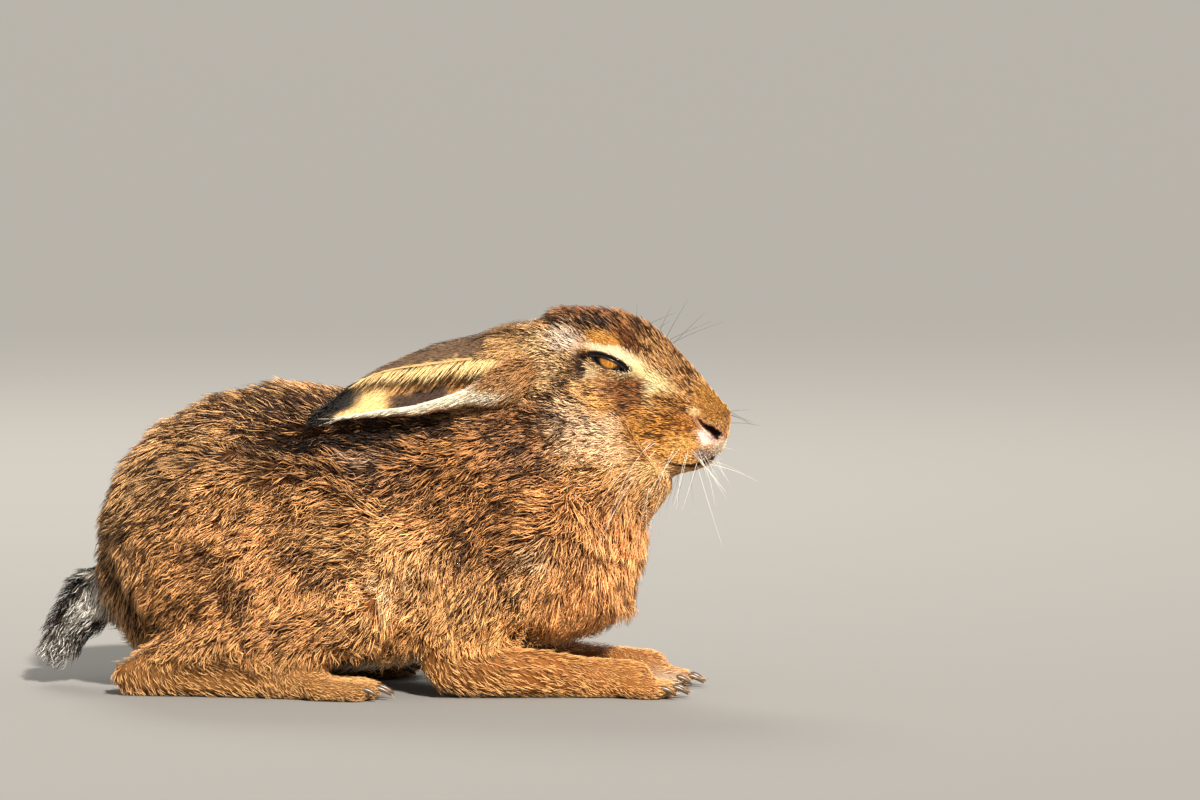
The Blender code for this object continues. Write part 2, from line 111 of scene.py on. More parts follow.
def patches(text, value=np.array):
    """Ellipsoids from rows of space, centre, radii, pitch, softness and value.

    The space is body for the world's axes, head for the head's axes, or eye for those with the eye at 0.
    """
    made = []
    for space, row in table(text):
        if space == "eye":
            space, row[:3] = "head", EYE_IN_HEAD + row[:3]
        made.append((space, row[0:3], row[3:6], row[6], row[7], value(row[8:])))
    return made


# Numbers on arrays of points


def hashed(cells, seed):
    """A number from 0 to 1 for each row of whole numbers."""
    mixed = cells[:, 0] * 73856093 ^ cells[:, 1] * 19349663 ^ cells[:, 2] * 83492791 ^ (seed * 2654435761)
    mixed = (mixed ^ (mixed >> 13)) * 1274126177
    mixed = (mixed ^ (mixed >> 16)) & 0xFFFFFF
    return mixed / 0xFFFFFF


def noise(points, size, seed=0):
    """Smooth noise from -1 to 1 at each point, with features of this size."""
    spots = points / size + 31.7
    cells = np.floor(spots).astype(np.int64)
    part = spots - cells
    part = part * part * (3 - 2 * part)
    total = np.zeros(len(points))
    for corner in np.ndindex(2, 2, 2):
        total += np.prod(np.where(corner, part, 1 - part), axis=1) * hashed(cells + corner, seed)
    return 2 * total - 1


def step(values, start, end):
    """0 before start, 1 after end, smooth between."""
    part = np.clip((values - start) / (end - start), 0.0, 1.0)
    return part * part * (3 - 2 * part)


def unit(vectors):
    return vectors / np.maximum(np.linalg.norm(vectors, axis=1), 1e-12)[:, None]


def linear(colour):
    """Linear values of a colour given as 0 to 255."""
    share = np.asarray(colour, float) / 255
    return np.where(share <= 0.04045, share / 12.92, ((share + 0.055) / 1.055) ** 2.4)


def ridge(values, middle, width):
    """1 where a value is at the middle, falling to 0 on both sides."""
    return np.exp(-(((values - middle) / width) ** 2))


def layered(value, layers):
    """A value at each point, with other values blended over it in turn by weights of their own."""
    for other, weight in layers:
        value = value * (1 - weight[:, None]) + other * weight[:, None]
    return value


def eye_gap(head):
    """Distance of points in the head's axes from the middle of the eye."""
    return np.linalg.norm(head - EYE_IN_HEAD, axis=1)


def line_gap(head, line):
    """Distance, seen from the side, from a broken line whose rows end with its half width."""
    points = head[:, [0, 2]]
    best = np.full(len(points), np.inf)
    for a, b in zip(np.asarray(line[:-1], float), np.asarray(line[1:], float)):
        run = b[:-1] - a[:-1]
        along = np.clip((points - a[:-1]) @ run / (run @ run), 0, 1)
        gap = np.linalg.norm(points - (a[:-1] + along[:, None] * run), axis=1)
        best = np.minimum(best, gap - (a[-1] + along * (b[-1] - a[-1])))
    return best


# Patches: each blends a value in over an ellipsoid


def patch_weight(points, centre, radii, pitch, soft):
    """1 inside an ellipsoid turned nose down by pitch, 0 outside, soft across its edge."""
    offset = points - np.asarray(centre)
    c, s = math.cos(math.radians(pitch)), math.sin(math.radians(pitch))
    along = offset[:, 0] * c - offset[:, 2] * s
    up = offset[:, 0] * s + offset[:, 2] * c
    reach = np.sqrt((along / radii[0]) ** 2 + (offset[:, 1] / radii[1]) ** 2 + (up / radii[2]) ** 2)
    return 1 - step(reach, 1 - soft, 1 + soft)


def blended(points, base, patches, ragged=0.0, seed=0):
    """A value at each point: the base, with each patch blended over it in turn."""
    world, head = folded(points), to_head(points)
    fringe = ragged * (noise(points, 0.006, seed) + 0.6 * noise(points, 0.0025, seed + 1))
    value = np.tile(np.atleast_1d(np.asarray(base, float)), (len(points), 1))
    for space, centre, radii, pitch, soft, new in patches:
        spots = head if space == "head" else world
        shift = fringe[:, None] * unit(spots - np.asarray(centre))
        weight = patch_weight(spots + shift, centre, radii, pitch, soft)[:, None]
        value = value * (1 - weight) + np.atleast_1d(np.asarray(new, float)) * weight
    return value if value.shape[1] > 1 else value[:, 0]


# Meshes


def arrays(mesh):
    """Points, triangles and smooth normals of a mesh."""
    points = np.empty(len(mesh.vertices) * 3)
    mesh.vertices.foreach_get("co", points)
    mesh.calc_loop_triangles()
    triangles = np.empty(len(mesh.loop_triangles) * 3, np.int32)
    mesh.loop_triangles.foreach_get("vertices", triangles)
    points, triangles = points.reshape(-1, 3), triangles.reshape(-1, 3)
    return points, triangles, vertex_normals(points, triangles)


def summed(places, vectors, count):
    """The sum of the vectors that go to each of so many places."""
    return np.stack([np.bincount(places, vectors[:, k], count) for k in range(3)], axis=1)


def vertex_normals(points, triangles):
    a, b, c = (points[triangles[:, i]] for i in range(3))
    across = np.cross(b - a, c - a)
    return unit(summed(triangles.ravel(), np.repeat(across, 3, axis=0), len(points)))


def smoothed(points, edges, rounds, weight):
    """Points moved toward their neighbours' mean, by a weight of their own."""
    a, b = edges[:, 0], edges[:, 1]
    degree = np.bincount(edges.ravel(), minlength=len(points))[:, None]
    for _ in range(rounds):
        total = summed(a, points[b], len(points)) + summed(b, points[a], len(points))
        points = points + (total / degree - points) * weight[:, None]
    return points


def mesh_of(name, points, faces, colours=None, uvs=None):
    """A mesh of triangles or quads, with colours per point and UVs per corner where given."""
    mesh = bpy.data.meshes.new(name)
    sides = faces.shape[1]
    mesh.vertices.add(len(points))
    mesh.vertices.foreach_set("co", np.ascontiguousarray(points, np.float32).ravel())
    mesh.loops.add(faces.size)
    mesh.loops.foreach_set("vertex_index", np.ascontiguousarray(faces, np.int32).ravel())
    mesh.polygons.add(len(faces))
    mesh.polygons.foreach_set("loop_start", np.arange(0, faces.size, sides, dtype=np.int32))
    mesh.polygons.foreach_set("use_smooth", np.ones(len(faces), bool))
    mesh.update(calc_edges=True)
    if colours is not None:
        paint(mesh, colours)
    if uvs is not None:
        layer = mesh.uv_layers.new(name="OFBake")
        layer.data.foreach_set("uv", np.ascontiguousarray(uvs, np.float32).ravel())
    return mesh


def paint(mesh, colours):
    layer = mesh.color_attributes.new("coat", "FLOAT_COLOR", "POINT")
    full = np.concatenate([colours, np.ones((len(colours), 1))], axis=1)
    layer.data.foreach_set("color", np.ascontiguousarray(full, np.float32).ravel())


def put(name, data):
    """A new object in the scene."""
    obj = bpy.data.objects.new(name, data)
    bpy.context.scene.collection.objects.link(obj)
    return obj


def add(name, mesh, material, nodes=()):
    """Adds a piece of the hare: it rides on the body and stands for the nodes it covers."""
    obj = put(name, mesh)
    mesh.materials.clear()
    mesh.materials.append(material)
    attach(obj, "root")
    if nodes:
        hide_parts(*nodes)


# Materials


class Nodes:
    """Short calls for building a material's nodes."""

    def __init__(self, name):
        self.material = bpy.data.materials.new(name)
        self.material.use_nodes = True
        self.tree = self.material.node_tree
        self.shader = self.tree.nodes["Principled BSDF"]

    def node(self, kind, **settings):
        made = self.tree.nodes.new(kind)
        for key, value in settings.items():
            setattr(made, key, value)
        return made

    def link(self, output, socket):
        self.tree.links.new(output, socket)

    def set(self, **values):
        for key, value in values.items():
            self.shader.inputs[key.replace("_", " ")].default_value = value

    def noise(self, scale, detail=3.0, stretch=None):
        place = self.node("ShaderNodeTexCoord").outputs["Object"]
        if stretch is not None:
            mapping = self.node("ShaderNodeMapping")
            mapping.inputs["Scale"].default_value = stretch
            self.link(place, mapping.inputs["Vector"])
            place = mapping.outputs["Vector"]
        made = self.node("ShaderNodeTexNoise")
        made.inputs["Scale"].default_value = scale
        made.inputs["Detail"].default_value = detail
        self.link(place, made.inputs["Vector"])
        return made.outputs["Fac"]

    def scaled(self, value, low, high):
        made = self.node("ShaderNodeMapRange")
        made.inputs["To Min"].default_value = low
        made.inputs["To Max"].default_value = high
        self.link(value, made.inputs["Value"])
        return made.outputs["Result"]

    def times(self, colour, factor):
        """A colour made brighter or darker by a factor."""
        made = self.node("ShaderNodeVectorMath", operation="SCALE")
        self.link(colour, made.inputs[0])
        self.link(factor, made.inputs["Scale"])
        return made.outputs["Vector"]

    def bump(self, height, strength, distance):
        made = self.node("ShaderNodeBump")
        made.inputs["Strength"].default_value = strength
        made.inputs["Distance"].default_value = distance
        self.link(height, made.inputs["Height"])
        self.link(made.outputs["Normal"], self.shader.inputs["Normal"])

    def mottled(self, grain, low, high):
        """A base colour that wanders between two, given as linear values."""
        ramp = self.node("ShaderNodeValToRGB")
        for element, colour in zip(ramp.color_ramp.elements, (low, high)):
            element.color = (*colour, 1.0)
        self.link(grain, ramp.inputs["Fac"])
        self.link(ramp.outputs["Color"], self.shader.inputs["Base Color"])


def coat_material(name, roughness=0.48, spread=0.22, grain=900.0, relief=0.0, shine=0.28):
    """Fur: the painted markings, broken up by fine grain."""
    made = Nodes(name)
    colour = made.node("ShaderNodeVertexColor", layer_name="coat").outputs["Color"]
    grainy = made.scaled(made.noise(grain, 2.0), 1 - spread, 1 + spread)
    made.link(made.times(colour, grainy), made.shader.inputs["Base Color"])
    made.set(Roughness=roughness, Specular_IOR_Level=shine)
    if relief:
        made.bump(made.noise(grain, 3.0), 0.8, relief)
    return made.material


# The skin


def flesh():
    """One closed surface round all the flesh nodes and the eyes, in fine quads."""
    bm = bmesh.new()
    for name in (*FLESH, "eye_left", "eye_right"):
        bm.from_mesh(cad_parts[name].data)
    bmesh.ops.remove_doubles(bm, verts=bm.verts, dist=1e-6)
    bm.normal_update()
    for vertex in bm.verts:
        vertex.co += vertex.normal * CLOSING
    mesh = bpy.data.meshes.new("flesh")
    bm.to_mesh(mesh)
    bm.free()
    obj = put("flesh", mesh)
    remesh = obj.modifiers.new("fuse", "REMESH")
    remesh.mode = "VOXEL"
    remesh.voxel_size = VOXEL
    graph = bpy.context.evaluated_depsgraph_get()
    fused = bpy.data.meshes.new_from_object(obj.evaluated_get(graph))
    bpy.data.objects.remove(obj)
    return fused


# How deep the coat is
COAT_DEPTH = 0.0058
DEPTHS = patches(
    """
head .045    0 .005 .078  .06  .06  0  .3 .0022
head .004    0 .042  .02 .034 .024  0  .5 .0038
body .155    0 .085  .03  .06  .05  0  .5  .011
head .085    0 .002 .045  .04 .045  0 .25  .001
head  .11    0    0 .022  .03  .03  0  .3 .0004
eye     0    0    0 .017 .014 .014  0 .25 .0006
body -.01  .04 .137  .07  .03  .01 -8  .4  .008
body  .07 .045  .01  .07  .03 .024  0 .25 .0028
body  .15 .032 .008 .045 .026 .022  0 .25 .0012
body -.08  .06 .008  .08 .028 .018  0 .25 .0028
body -.01 .062 .008 .045 .034  .02  0 .25 .0012
"""
)
# The bones and pads that show through the coat of the head, out or in
FORMS = patches(
    """
head  .041 .023 .0345 .015 .012  .004  -8 .6  .0013
head .0255 .028  .014 .005 .012  .009 -25 .6 -.0016
head  .059  .02 .0175 .009 .012  .005  25 .6  -.001
head  .046  .03  .008 .018 .014  .005  -8 .6  .0012
head .0285 .034 -.006 .003 .014  .013 -28 .7 -.0014
head  .042 .035 -.013 .018 .016  .013   0 .7  .0014
head   .09 .016 -.001 .016 .012  .011   0 .7  .0012
head  .089 .013 .0135  .01  .01  .003   0 .7 -.0008
head  .103  .01  .015 .009 .009 .0045  20 .7  .0008
head    .1 .012 -.001 .009 .009  .005   0 .7  .0006
"""
)
# Lines on the side of the head: along, up and half width
NOSTRIL = (
    (0.0948, 0.0124, 0.0003),
    (0.1000, 0.0100, 0.0012),
    (0.1048, 0.0088, 0.0022),
    (0.1080, 0.0074, 0.0024),
)
LIPS = (
    (0.0900, -0.0157, 0.0001),
    (0.0957, -0.0150, 0.0003),
    (0.1030, -0.0122, 0.0005),
    (0.1085, -0.0068, 0.0004),
    (0.1125, -0.0028, 0.0002),
)


def almond(head, reach=LID_REACH, opening=LID_OPENING, lift=LID_LIFT):
    """Where a point is to the opening between the lids: 1 on its edge, less inside."""
    across = (head[:, 0] - EYE_IN_HEAD[0]) / reach
    up = (head[:, 2] - EYE_IN_HEAD[2] - lift) / opening
    return np.sqrt(across**2 + np.abs(up) ** 1.55)


def dark_leaf(head):
    """The dark bare skin round the eye; its wide band above the opening also paints the upper lid's shade:
    1 on its edge, less inside.
    """
    return almond(head, LEAF_REACH, LEAF_OPENING, LEAF_LIFT)


LID_SINK, LID_FOLD = 0.0026, 0.0007  # depth of the opening and height of the folds round it
NOSTRIL_DEPTH, NOSTRIL_RIM = 0.0042, 0.0006
MOUTH_DEPTH, LIP_SWELL = 0.0014, 0.0004
CLEFT_DEPTH, CLEFT_WIDTH = 0.0016, 0.0009


def carved(points, normals):
    """Pushes the lids' folds, the nostrils, the cleft of the lip and the mouth into the skin."""
    head = to_head(points)
    along, side, up = head.T
    near_eye = step(side, 0.010, 0.014) * (eye_gap(head) < 0.022)
    leaf = dark_leaf(head)
    push = near_eye * (-LID_SINK * (1 - step(almond(head), 0.80, 1.10)))
    push += near_eye * LID_FOLD * ridge(leaf, 1.02, 0.22)
    push -= near_eye * LID_FOLD * ridge(leaf, 1.55, 0.20)
    muzzle = step(along, 0.070, 0.085)
    slit, mouth = line_gap(head, NOSTRIL), line_gap(head, LIPS)
    push -= muzzle * NOSTRIL_DEPTH * (1 - step(slit, -0.0012, 0.0006)) * step(side, 0.0015, 0.0035)
    push += muzzle * NOSTRIL_RIM * ridge(slit, 0.0016, 0.0010) * step(side, 0.001, 0.003)
    push -= muzzle * MOUTH_DEPTH * (1 - step(mouth, -0.0002, 0.0010))
    push += muzzle * LIP_SWELL * ridge(mouth, 0.0020, 0.0010)
    cleft = step(along, 0.103, 0.108) * step(up, -0.012, -0.008) * (1 - step(up, 0.006, 0.010))
    push -= cleft * CLEFT_DEPTH * ridge(side, 0, CLEFT_WIDTH)
    return points + normals * push[:, None]


def finer(mesh):
    """Splits the quads round the eyes and on the muzzle, where the small folds are."""
    bm = bmesh.new()
    bm.from_mesh(mesh)
    centres = to_head(np.array([face.calc_center_median() for face in bm.faces]))
    eye = eye_gap(centres) < 0.0175
    snout = (centres[:, 0] > 0.084) & (np.abs(centres[:, 2]) < 0.05)
    edges = set()
    for face, chosen in zip(list(bm.faces), eye | snout):
        if chosen:
            edges.update(face.edges)
    bmesh.ops.subdivide_edges(bm, edges=list(edges), cuts=1, use_grid_fill=True)
    bmesh.ops.triangulate(bm, faces=bm.faces)
    bm.to_mesh(mesh)
    bm.free()


def edge_array(mesh):
    edges = np.empty(len(mesh.edges) * 2, np.int32)
    mesh.edges.foreach_get("vertices", edges)
    return edges.reshape(-1, 2)


def build_skin():
    mesh = flesh()
    points, _, _ = arrays(mesh)
    points = smoothed(points, edge_array(mesh), 5, np.full(len(points), 0.5))
    mesh.vertices.foreach_set("co", points.ravel())
    mesh.update()
    finer(mesh)
    points, triangles, normals = arrays(mesh)
    points = points - normals * blended(points, COAT_DEPTH, DEPTHS)[:, None]
    points = points + normals * blended(points, 0.0, FORMS)[:, None]
    along = to_head(points)[:, 0]
    edges = edge_array(mesh)
    points = smoothed(points, edges, 6, np.where(along > 0.088, 0.35, np.where(along > 0.02, 0.12, 0.5)))
    points = carved(points, vertex_normals(points, triangles))
    points = smoothed(points, edges, 1, np.full(len(points), 0.25))
    points[:, 2] = np.maximum(points[:, 2], SKIN_FLOOR)
    mesh.vertices.foreach_set("co", points.ravel())
    mesh.update()
    return mesh


# Markings: hair colour and tip colour in 0 to 255, and the share of dark hairs


def tone(hair, tips, dark):
    return (*linear(hair), *linear(tips), dark)


BASE_TONE = tone((166, 106, 60), (246, 188, 120), 0.38)
GOLD = linear((238, 186, 116))
MARKINGS = patches(
    # painted shade: a near-black streak along the back edge of the jaw
    # painted shadow: a black-brown band on the neck where the lying ear shades it
    """
# back and rump, flanks, belly
body  -.06     0    .17   .16  .09   .06   0  .3 136  86  52 246 192 130 .52
body  -.15     0     .1   .07   .1   .08   0  .3 136  90  54 236 184 124 .48
body   .02     0      0    .2  .05  .026   0  .4 230 208 178 248 236 214 .02
body  -.05   .08   .065    .1  .03  .045   0  .5 176 110  62 244 184 118 .36
body  .035   .07    .08  .055  .03  .035   0  .5 206 134  78 255 206 140 .26
# shoulder and neck
body  .018   .06   .134  .062  .05  .034   0 .45 112  68  38 216 156 100 .54
body  .085   .05    .12   .05  .06   .05  20  .4 140  84  42 228 162  96 .44
body  .004   .05   .126  .011  .03  .006 -10  .5 120  88  68 200 162 130  .4
body -.012   .04   .137   .07  .03  .006  -8  .5  26  16  10  64  40  25  .6
body  .094  .033   .158  .018  .03  .024   0  .5 150  98  56 236 176 116 .42
# chest and forelegs
body   .13     0    .08   .05  .07  .055   0  .4 206 132  74 252 190 124 .18
body  .136  .036   .107  .016  .03  .016   0  .5 180 108  58 238 170 106 .26
body    .1   .05    .02    .1  .04   .03   0  .4 196 124  64 246 192 122 .14
body .0966  .062    .08  .005  .02  .009  15  .6 216 164 112 248 212 166 .04
# knee and hind feet
body  .013  .065   .061  .008  .02  .006   0  .5 206 160 112 246 214 170 .05
body  -.05  .062    .01   .11  .04   .02   0 .35 184 126  70 234 184 122  .1
# tail: black above, white below
body  -.17     0    .04   .03  .03   .04  33  .2 236 228 212 252 248 240   0
body -.176     0   .052   .04 .012  .036  33 .25  30  24  20  44  34  28  .6
# head: sides, crown and forehead
head   .04     0      0  .078  .05  .056   0  .2 196 132  76 255 206 138 .36
head   .03     0   .046  .066 .026   .02   4  .3 108  64  36 216 156 100 .54
head   .01     0    .04   .03  .03  .018   0  .4 104  62  36 196 136  88 .54
head  .012   .03  -.026  .025  .03  .026   0  .5 126  78  46 222 160 106  .5
head  .008   .03    .01  .018  .02   .02   0  .5 196 142  90 254 220 164 .36
head .0154 .0243  .0247  .008 .015 .0062 -22 .45 226 194 164 252 234 212 .14
head   .07  .011   .033   .02 .016 .0056  28  .4 172 110  60 246 194 128 .47
head .0452 .0212  .0368 .0085 .015 .0056  10  .4 112  60  28 176 108  56 .46
head .0276 .0196   .039   .01 .015 .0022 -30  .4  62  44  34 120  92  70 .55
head  .035  .024   .033  .009 .015  .004  -4  .4 226 148  56 248 190 104 .05
# head: round the eye
head .0385  .029  .0292  .014 .015 .0026 -10 .35 250 226 178 255 242 210   0
head  .053 .0262  .0258  .006 .016 .0062  18 .45 255 232 184 255 246 214   0
head  .034 .0284  .0164 .0056 .015  .004  -2  .4 226 190 140 248 222 180  .1
head .0469 .0294  .0178 .0086 .015 .0017 -14  .4 204 150  92 240 196 132  .1
head  .064 .0211   .019 .0165 .018  .009  18  .5 255 222 154 255 242 196  .1
head .0272  .028   .015 .0018 .015 .0078 -32 .45  70  46  34 112  78  56  .5
head .0275 .0268  .0215  .004 .015 .0014 -22 .45  50  34  26  92  64  46  .5
# head: cheek
head  .046 .0369  -.011 .0185  .02  .012 -12  .5 244 190 140 255 228 190 .24
head  .054  .038   -.02   .02  .02  .007 -16 .45 238 182 128 255 220 174 .16
head .0572 .0249  .0095 .0125 .018 .0112 -22  .3 126  78  42 194 132  80 .44
head  .047 .0289  .0005  .007 .016 .0056 -22 .45 222 148  70 250 196 118  .1
head .0256 .0302   .005 .0032 .015 .0052  -2 .45  92  58  38 150 104  68 .45
head .0275 .0345  -.007 .0018 .015  .009 -30 .45  44  30  24  84  58  42  .6
# head: muzzle, nose and lips
head  .083  .018      0   .02  .02  .014 -16 .45 188 110  40 250 184  92 .51
head   .07   .02  -.003  .007  .02  .009 -22  .6 176 112  48 236 172  90 .34
head  .078  .018  .0145  .012 .015  .004 -10 .45 160  98  42 236 172  92  .5
head    .1  .007  .0215  .012  .02  .009  23  .4 164 106  46 228 168  86 .36
head .0925  .015   .015  .003 .012 .0022 -10  .5 240 196 130 250 220 170 .05
head  .094  .015  -.006  .013 .015  .007 -20  .5 228 158  76 252 200 120 .18
head .1035  .011  .0042 .0072 .015  .003  20  .4 244 220 206 254 240 230   0
head  .112  .005   .001 .0046 .012 .0062 -22  .4 238 210 176 252 234 206 .02
head .1062  .012 -.0034 .0062 .015 .0026 -42 .45 138 112 100 190 166 150  .3
head  .085 .0125 -.0205  .015  .02 .0044 -18 .45 240 186 118 255 220 162  .1
head  .074     0  -.033   .02  .02  .005 -10 .45 190 128  72 232 176 116  .2
""",
    lambda row: tone(row[0:3], row[3:6], row[6]),
)


def markings(points, seed=3):
    return blended(points, BASE_TONE, MARKINGS, ragged=0.0020, seed=seed)


# The coat: how long, wide, dense and raised the tufts are
STREAK_STRETCH = 0.72
LENGTH = 0.0165
LENGTHS = patches(
    """
head .036    0  .005  .08  .06 .062  0 .25 .0078
head  .04 .036 -.016 .026  .02 .018  0  .4 .0095
head  .08    0  .006 .042  .05 .048  0  .3  .005
head .104    0  .005 .022  .03  .03  0 .35 .0024
head .086    0 -.026 .022  .02 .008  0 .35 .0058
eye     0    0     0 .019  .02 .015  0 .35 .0027
body -.01  .04  .137 .075  .03 .008 -8  .4  .008
body  .07 .045  .008  .07  .03 .024  0 .25 .0075
body  .15 .032  .008 .045 .026 .022  0 .25 .0042
body -.08  .06  .008  .08 .028 .018  0 .25  .007
body -.01 .062  .008 .045 .034  .02  0 .25 .0042
body -.18    0  .035  .03  .03  .04 33  .3  .011
"""
)
# How much further the fur stands up than on the rest, in degrees
STANDING = patches(
    """
head .02 0 .052 .045 .03 .018 4 .5  9
body .05 0  .18  .05 .03  .03 0 .5 12
"""
)
# Which way the fur lies: place and direction on the left side
GUIDES = table(
    """
# muzzle and face, in the head's axes
head  .112 .002  .008 -.7  .3  .7
head  .104 .004  .022  -1  .2  .3
head    .1 .012   .01  -1  .4  .1
head  .108 .008 -.004 -.6  .5 -.5
head   .09 .016     0  -1  .4 -.2
head    .1  .01 -.012 -.8  .4 -.5
head   .09 .004  -.03  -1  .1 -.3
head  .072  .02 -.006  -1  .2 -.3
head  .078  .01  .026  -1  .2  .3
head  .058 .024  .014  -1  .2 -.3
head  .054 .022   .03 -.8  .1  .6
head   .04 .024  .036 -.9 -.1  .3
head  .028 .026  .028  -1   0  .1
head   .04  .03   .01 -.9  .1 -.5
head   .02  .03  .006 -.9  .1 -.5
head   .05 .028 -.012 -.9  .1 -.4
head   .03 .032 -.024 -.7  .1 -.7
head   .01  .03  -.01 -.8   0 -.6
head   .06    0   .04  -1   0  .2
head   .03    0   .05  -1   0   0
head   .06 .012 -.036 -.9  .1 -.5
# neck, chest and shoulder
body   .07  .03  .175 -.9  .1 -.4
body   .06    0   .19  -1   0 -.2
body    .1  .04   .13 -.6  .1 -.8
body  .145  .01   .11 -.1  .1  -1
body   .15  .01   .07  .1  .1  -1
body   .12  .04   .08 -.2  .1  -1
body  .135 .015  .035 -.2   0  -1
body   .08  .06   .08 -.5  .1 -.9
body   .06  .06   .05 -.3  .1  -1
body   .04  .06   .11 -.8  .1 -.5
body   .02 .065  .056 -.4  .1 -.9
# back, flank, thigh and rump
body   .02    0  .165  -1   0   0
body  -.06    0  .168  -1   0 -.1
body  -.12    0   .15 -.8   0 -.5
body  -.15    0   .11 -.5   0 -.9
body     0  .06    .1 -.9  .1 -.3
body     0  .06   .06 -.8  .1 -.5
body  -.06 .075    .1 -.8  .1 -.5
body   -.1  .07   .08 -.7   0 -.7
body  -.04  .08   .06 -.6  .1 -.8
body  -.14  .04   .07 -.4   0 -.9
body   .02    0  .012  -1   0   0
# legs, from the body outward
body   .04 .055   .02  .6  .1 -.5
body   .09  .05  .022   1   0 -.2
body   .15 .034  .018   1   0 -.2
body  -.02 .072  .045 -.7  .1 -.5
body  -.09 .076  .036 -.9   0 -.4
body -.125 .062  .012  .3  .1 -.9
body  -.08  .07  .014  .9  .1 -.3
body  -.01 .066  .014   1   0 -.2
# tail
body  -.15 .012   .06 -.6  .1 -.8
body  -.18 .012   .03 -.3  .1  -1
"""
)


GUIDE_SOFTNESS = 0.00004  # square metres: how gently one guide gives way to the next


def lie_field(points):
    """The direction in which the fur lies at each point, not yet laid along the skin."""
    near = folded(points)
    total, weights = np.zeros((len(points), 3)), np.zeros(len(points))
    for space, row in GUIDES:
        place, direction = row[:3], row[3:]
        if space == "head":
            place, direction = from_head(place[None])[0], direction @ TURN
        share = 1 / (np.sum((near - place) ** 2, axis=1) + GUIDE_SOFTNESS) ** 2
        total += share[:, None] * (direction / np.linalg.norm(direction))
        weights += share
    total /= weights[:, None]
    total[:, 1] *= np.sign(points[:, 1])
    return total


class Roots:
    """Spots on a surface where tufts grow: their triangle's corners and the share of each corner."""

    def __init__(self, corners_of, shares, points, normals, uvs):
        self.corners_of, self.shares = corners_of, shares
        self.points, self.normals, self.uvs = points, normals, uvs

    def pick(self, chosen):
        kept = (self.corners_of, self.shares, self.points, self.normals, self.uvs)
        return Roots(*(values[chosen] for values in kept))

    def read(self, values):
        """The value at each spot of something known at the surface's points."""
        return np.einsum("ij,ij...->i...", self.shares, values[self.corners_of])


def unwrapped(mesh):
    """UVs per triangle corner from an unwrap of the mesh's own shape."""
    obj = put("unwrap", mesh)
    bpy.context.view_layer.objects.active = obj
    obj.select_set(True)
    bpy.ops.object.mode_set(mode="EDIT")
    bpy.ops.mesh.select_all(action="SELECT")
    bpy.ops.uv.smart_project(angle_limit=math.radians(66), island_margin=0.002)
    bpy.ops.object.mode_set(mode="OBJECT")
    uvs = np.empty(len(mesh.loops) * 2)
    mesh.uv_layers.active.data.foreach_get("uv", uvs)
    bpy.data.objects.remove(obj)
    mesh.calc_loop_triangles()
    loops = np.empty(len(mesh.loop_triangles) * 3, np.int32)
    mesh.loop_triangles.foreach_get("loops", loops)
    corner_uvs = uvs.reshape(-1, 2)[loops].reshape(-1, 3, 2)
    mesh.uv_layers.remove(mesh.uv_layers.active)
    return corner_uvs


def scattered(points, triangles, normals, uvs, density, rng):
    """Spots spread evenly over the triangles, so many to the square metre."""
    a, b, c = (points[triangles[:, i]] for i in range(3))
    area = np.linalg.norm(np.cross(b - a, c - a), axis=1) / 2
    count = np.floor(area * density((a + b + c) / 3) + rng.random(len(area))).astype(int)
    which = np.repeat(np.arange(len(area)), count)
    u, v = rng.random((2, len(which)))
    flip = u + v > 1
    u, v = np.where(flip, 1 - u, u), np.where(flip, 1 - v, v)
    shares = np.stack([1 - u - v, u, v], axis=1)
    corners_of = triangles[which]
    spots = np.einsum("ij,ijk->ik", shares, points[corners_of])
    facing = unit(np.einsum("ij,ijk->ik", shares, normals[corners_of]))
    places = np.einsum("ij,ijk->ik", shares, uvs[which])
    return Roots(corners_of, shares, spots, facing, places)


PATCH = 0.003  # size of a tuft's patch on the unwrap
# A tuft's points: 0 its root, 1 to 3 and 4 to 6 the left, top and right of two rings, and 7 its tip
TUFT_FACES = np.array(
    (
        (0, 1, 2), (0, 2, 3), (0, 3, 1), (1, 4, 5), (1, 5, 2), (2, 5, 6),
        (2, 6, 3), (3, 6, 4), (3, 4, 1), (7, 5, 4), (7, 6, 5), (7, 4, 6),
    )
)
TUFT_UVS = np.array(
    (
        (0.0, -0.5), (-0.5, -0.17), (0.0, -0.17), (0.5, -0.17),
        (-0.5, 0.17), (0.0, 0.17), (0.5, 0.17), (0.0, 0.5),
    )
)
RISE, RUN = 0.30, 0.36  # shares of a tuft's length up to its first ring and from there to its second
ROOT_DEPTH = 0.0004
SKIN_FLOOR, FUR_FLOOR = 0.0004, 0.0002  # the lowest height of skin and fur over the ground


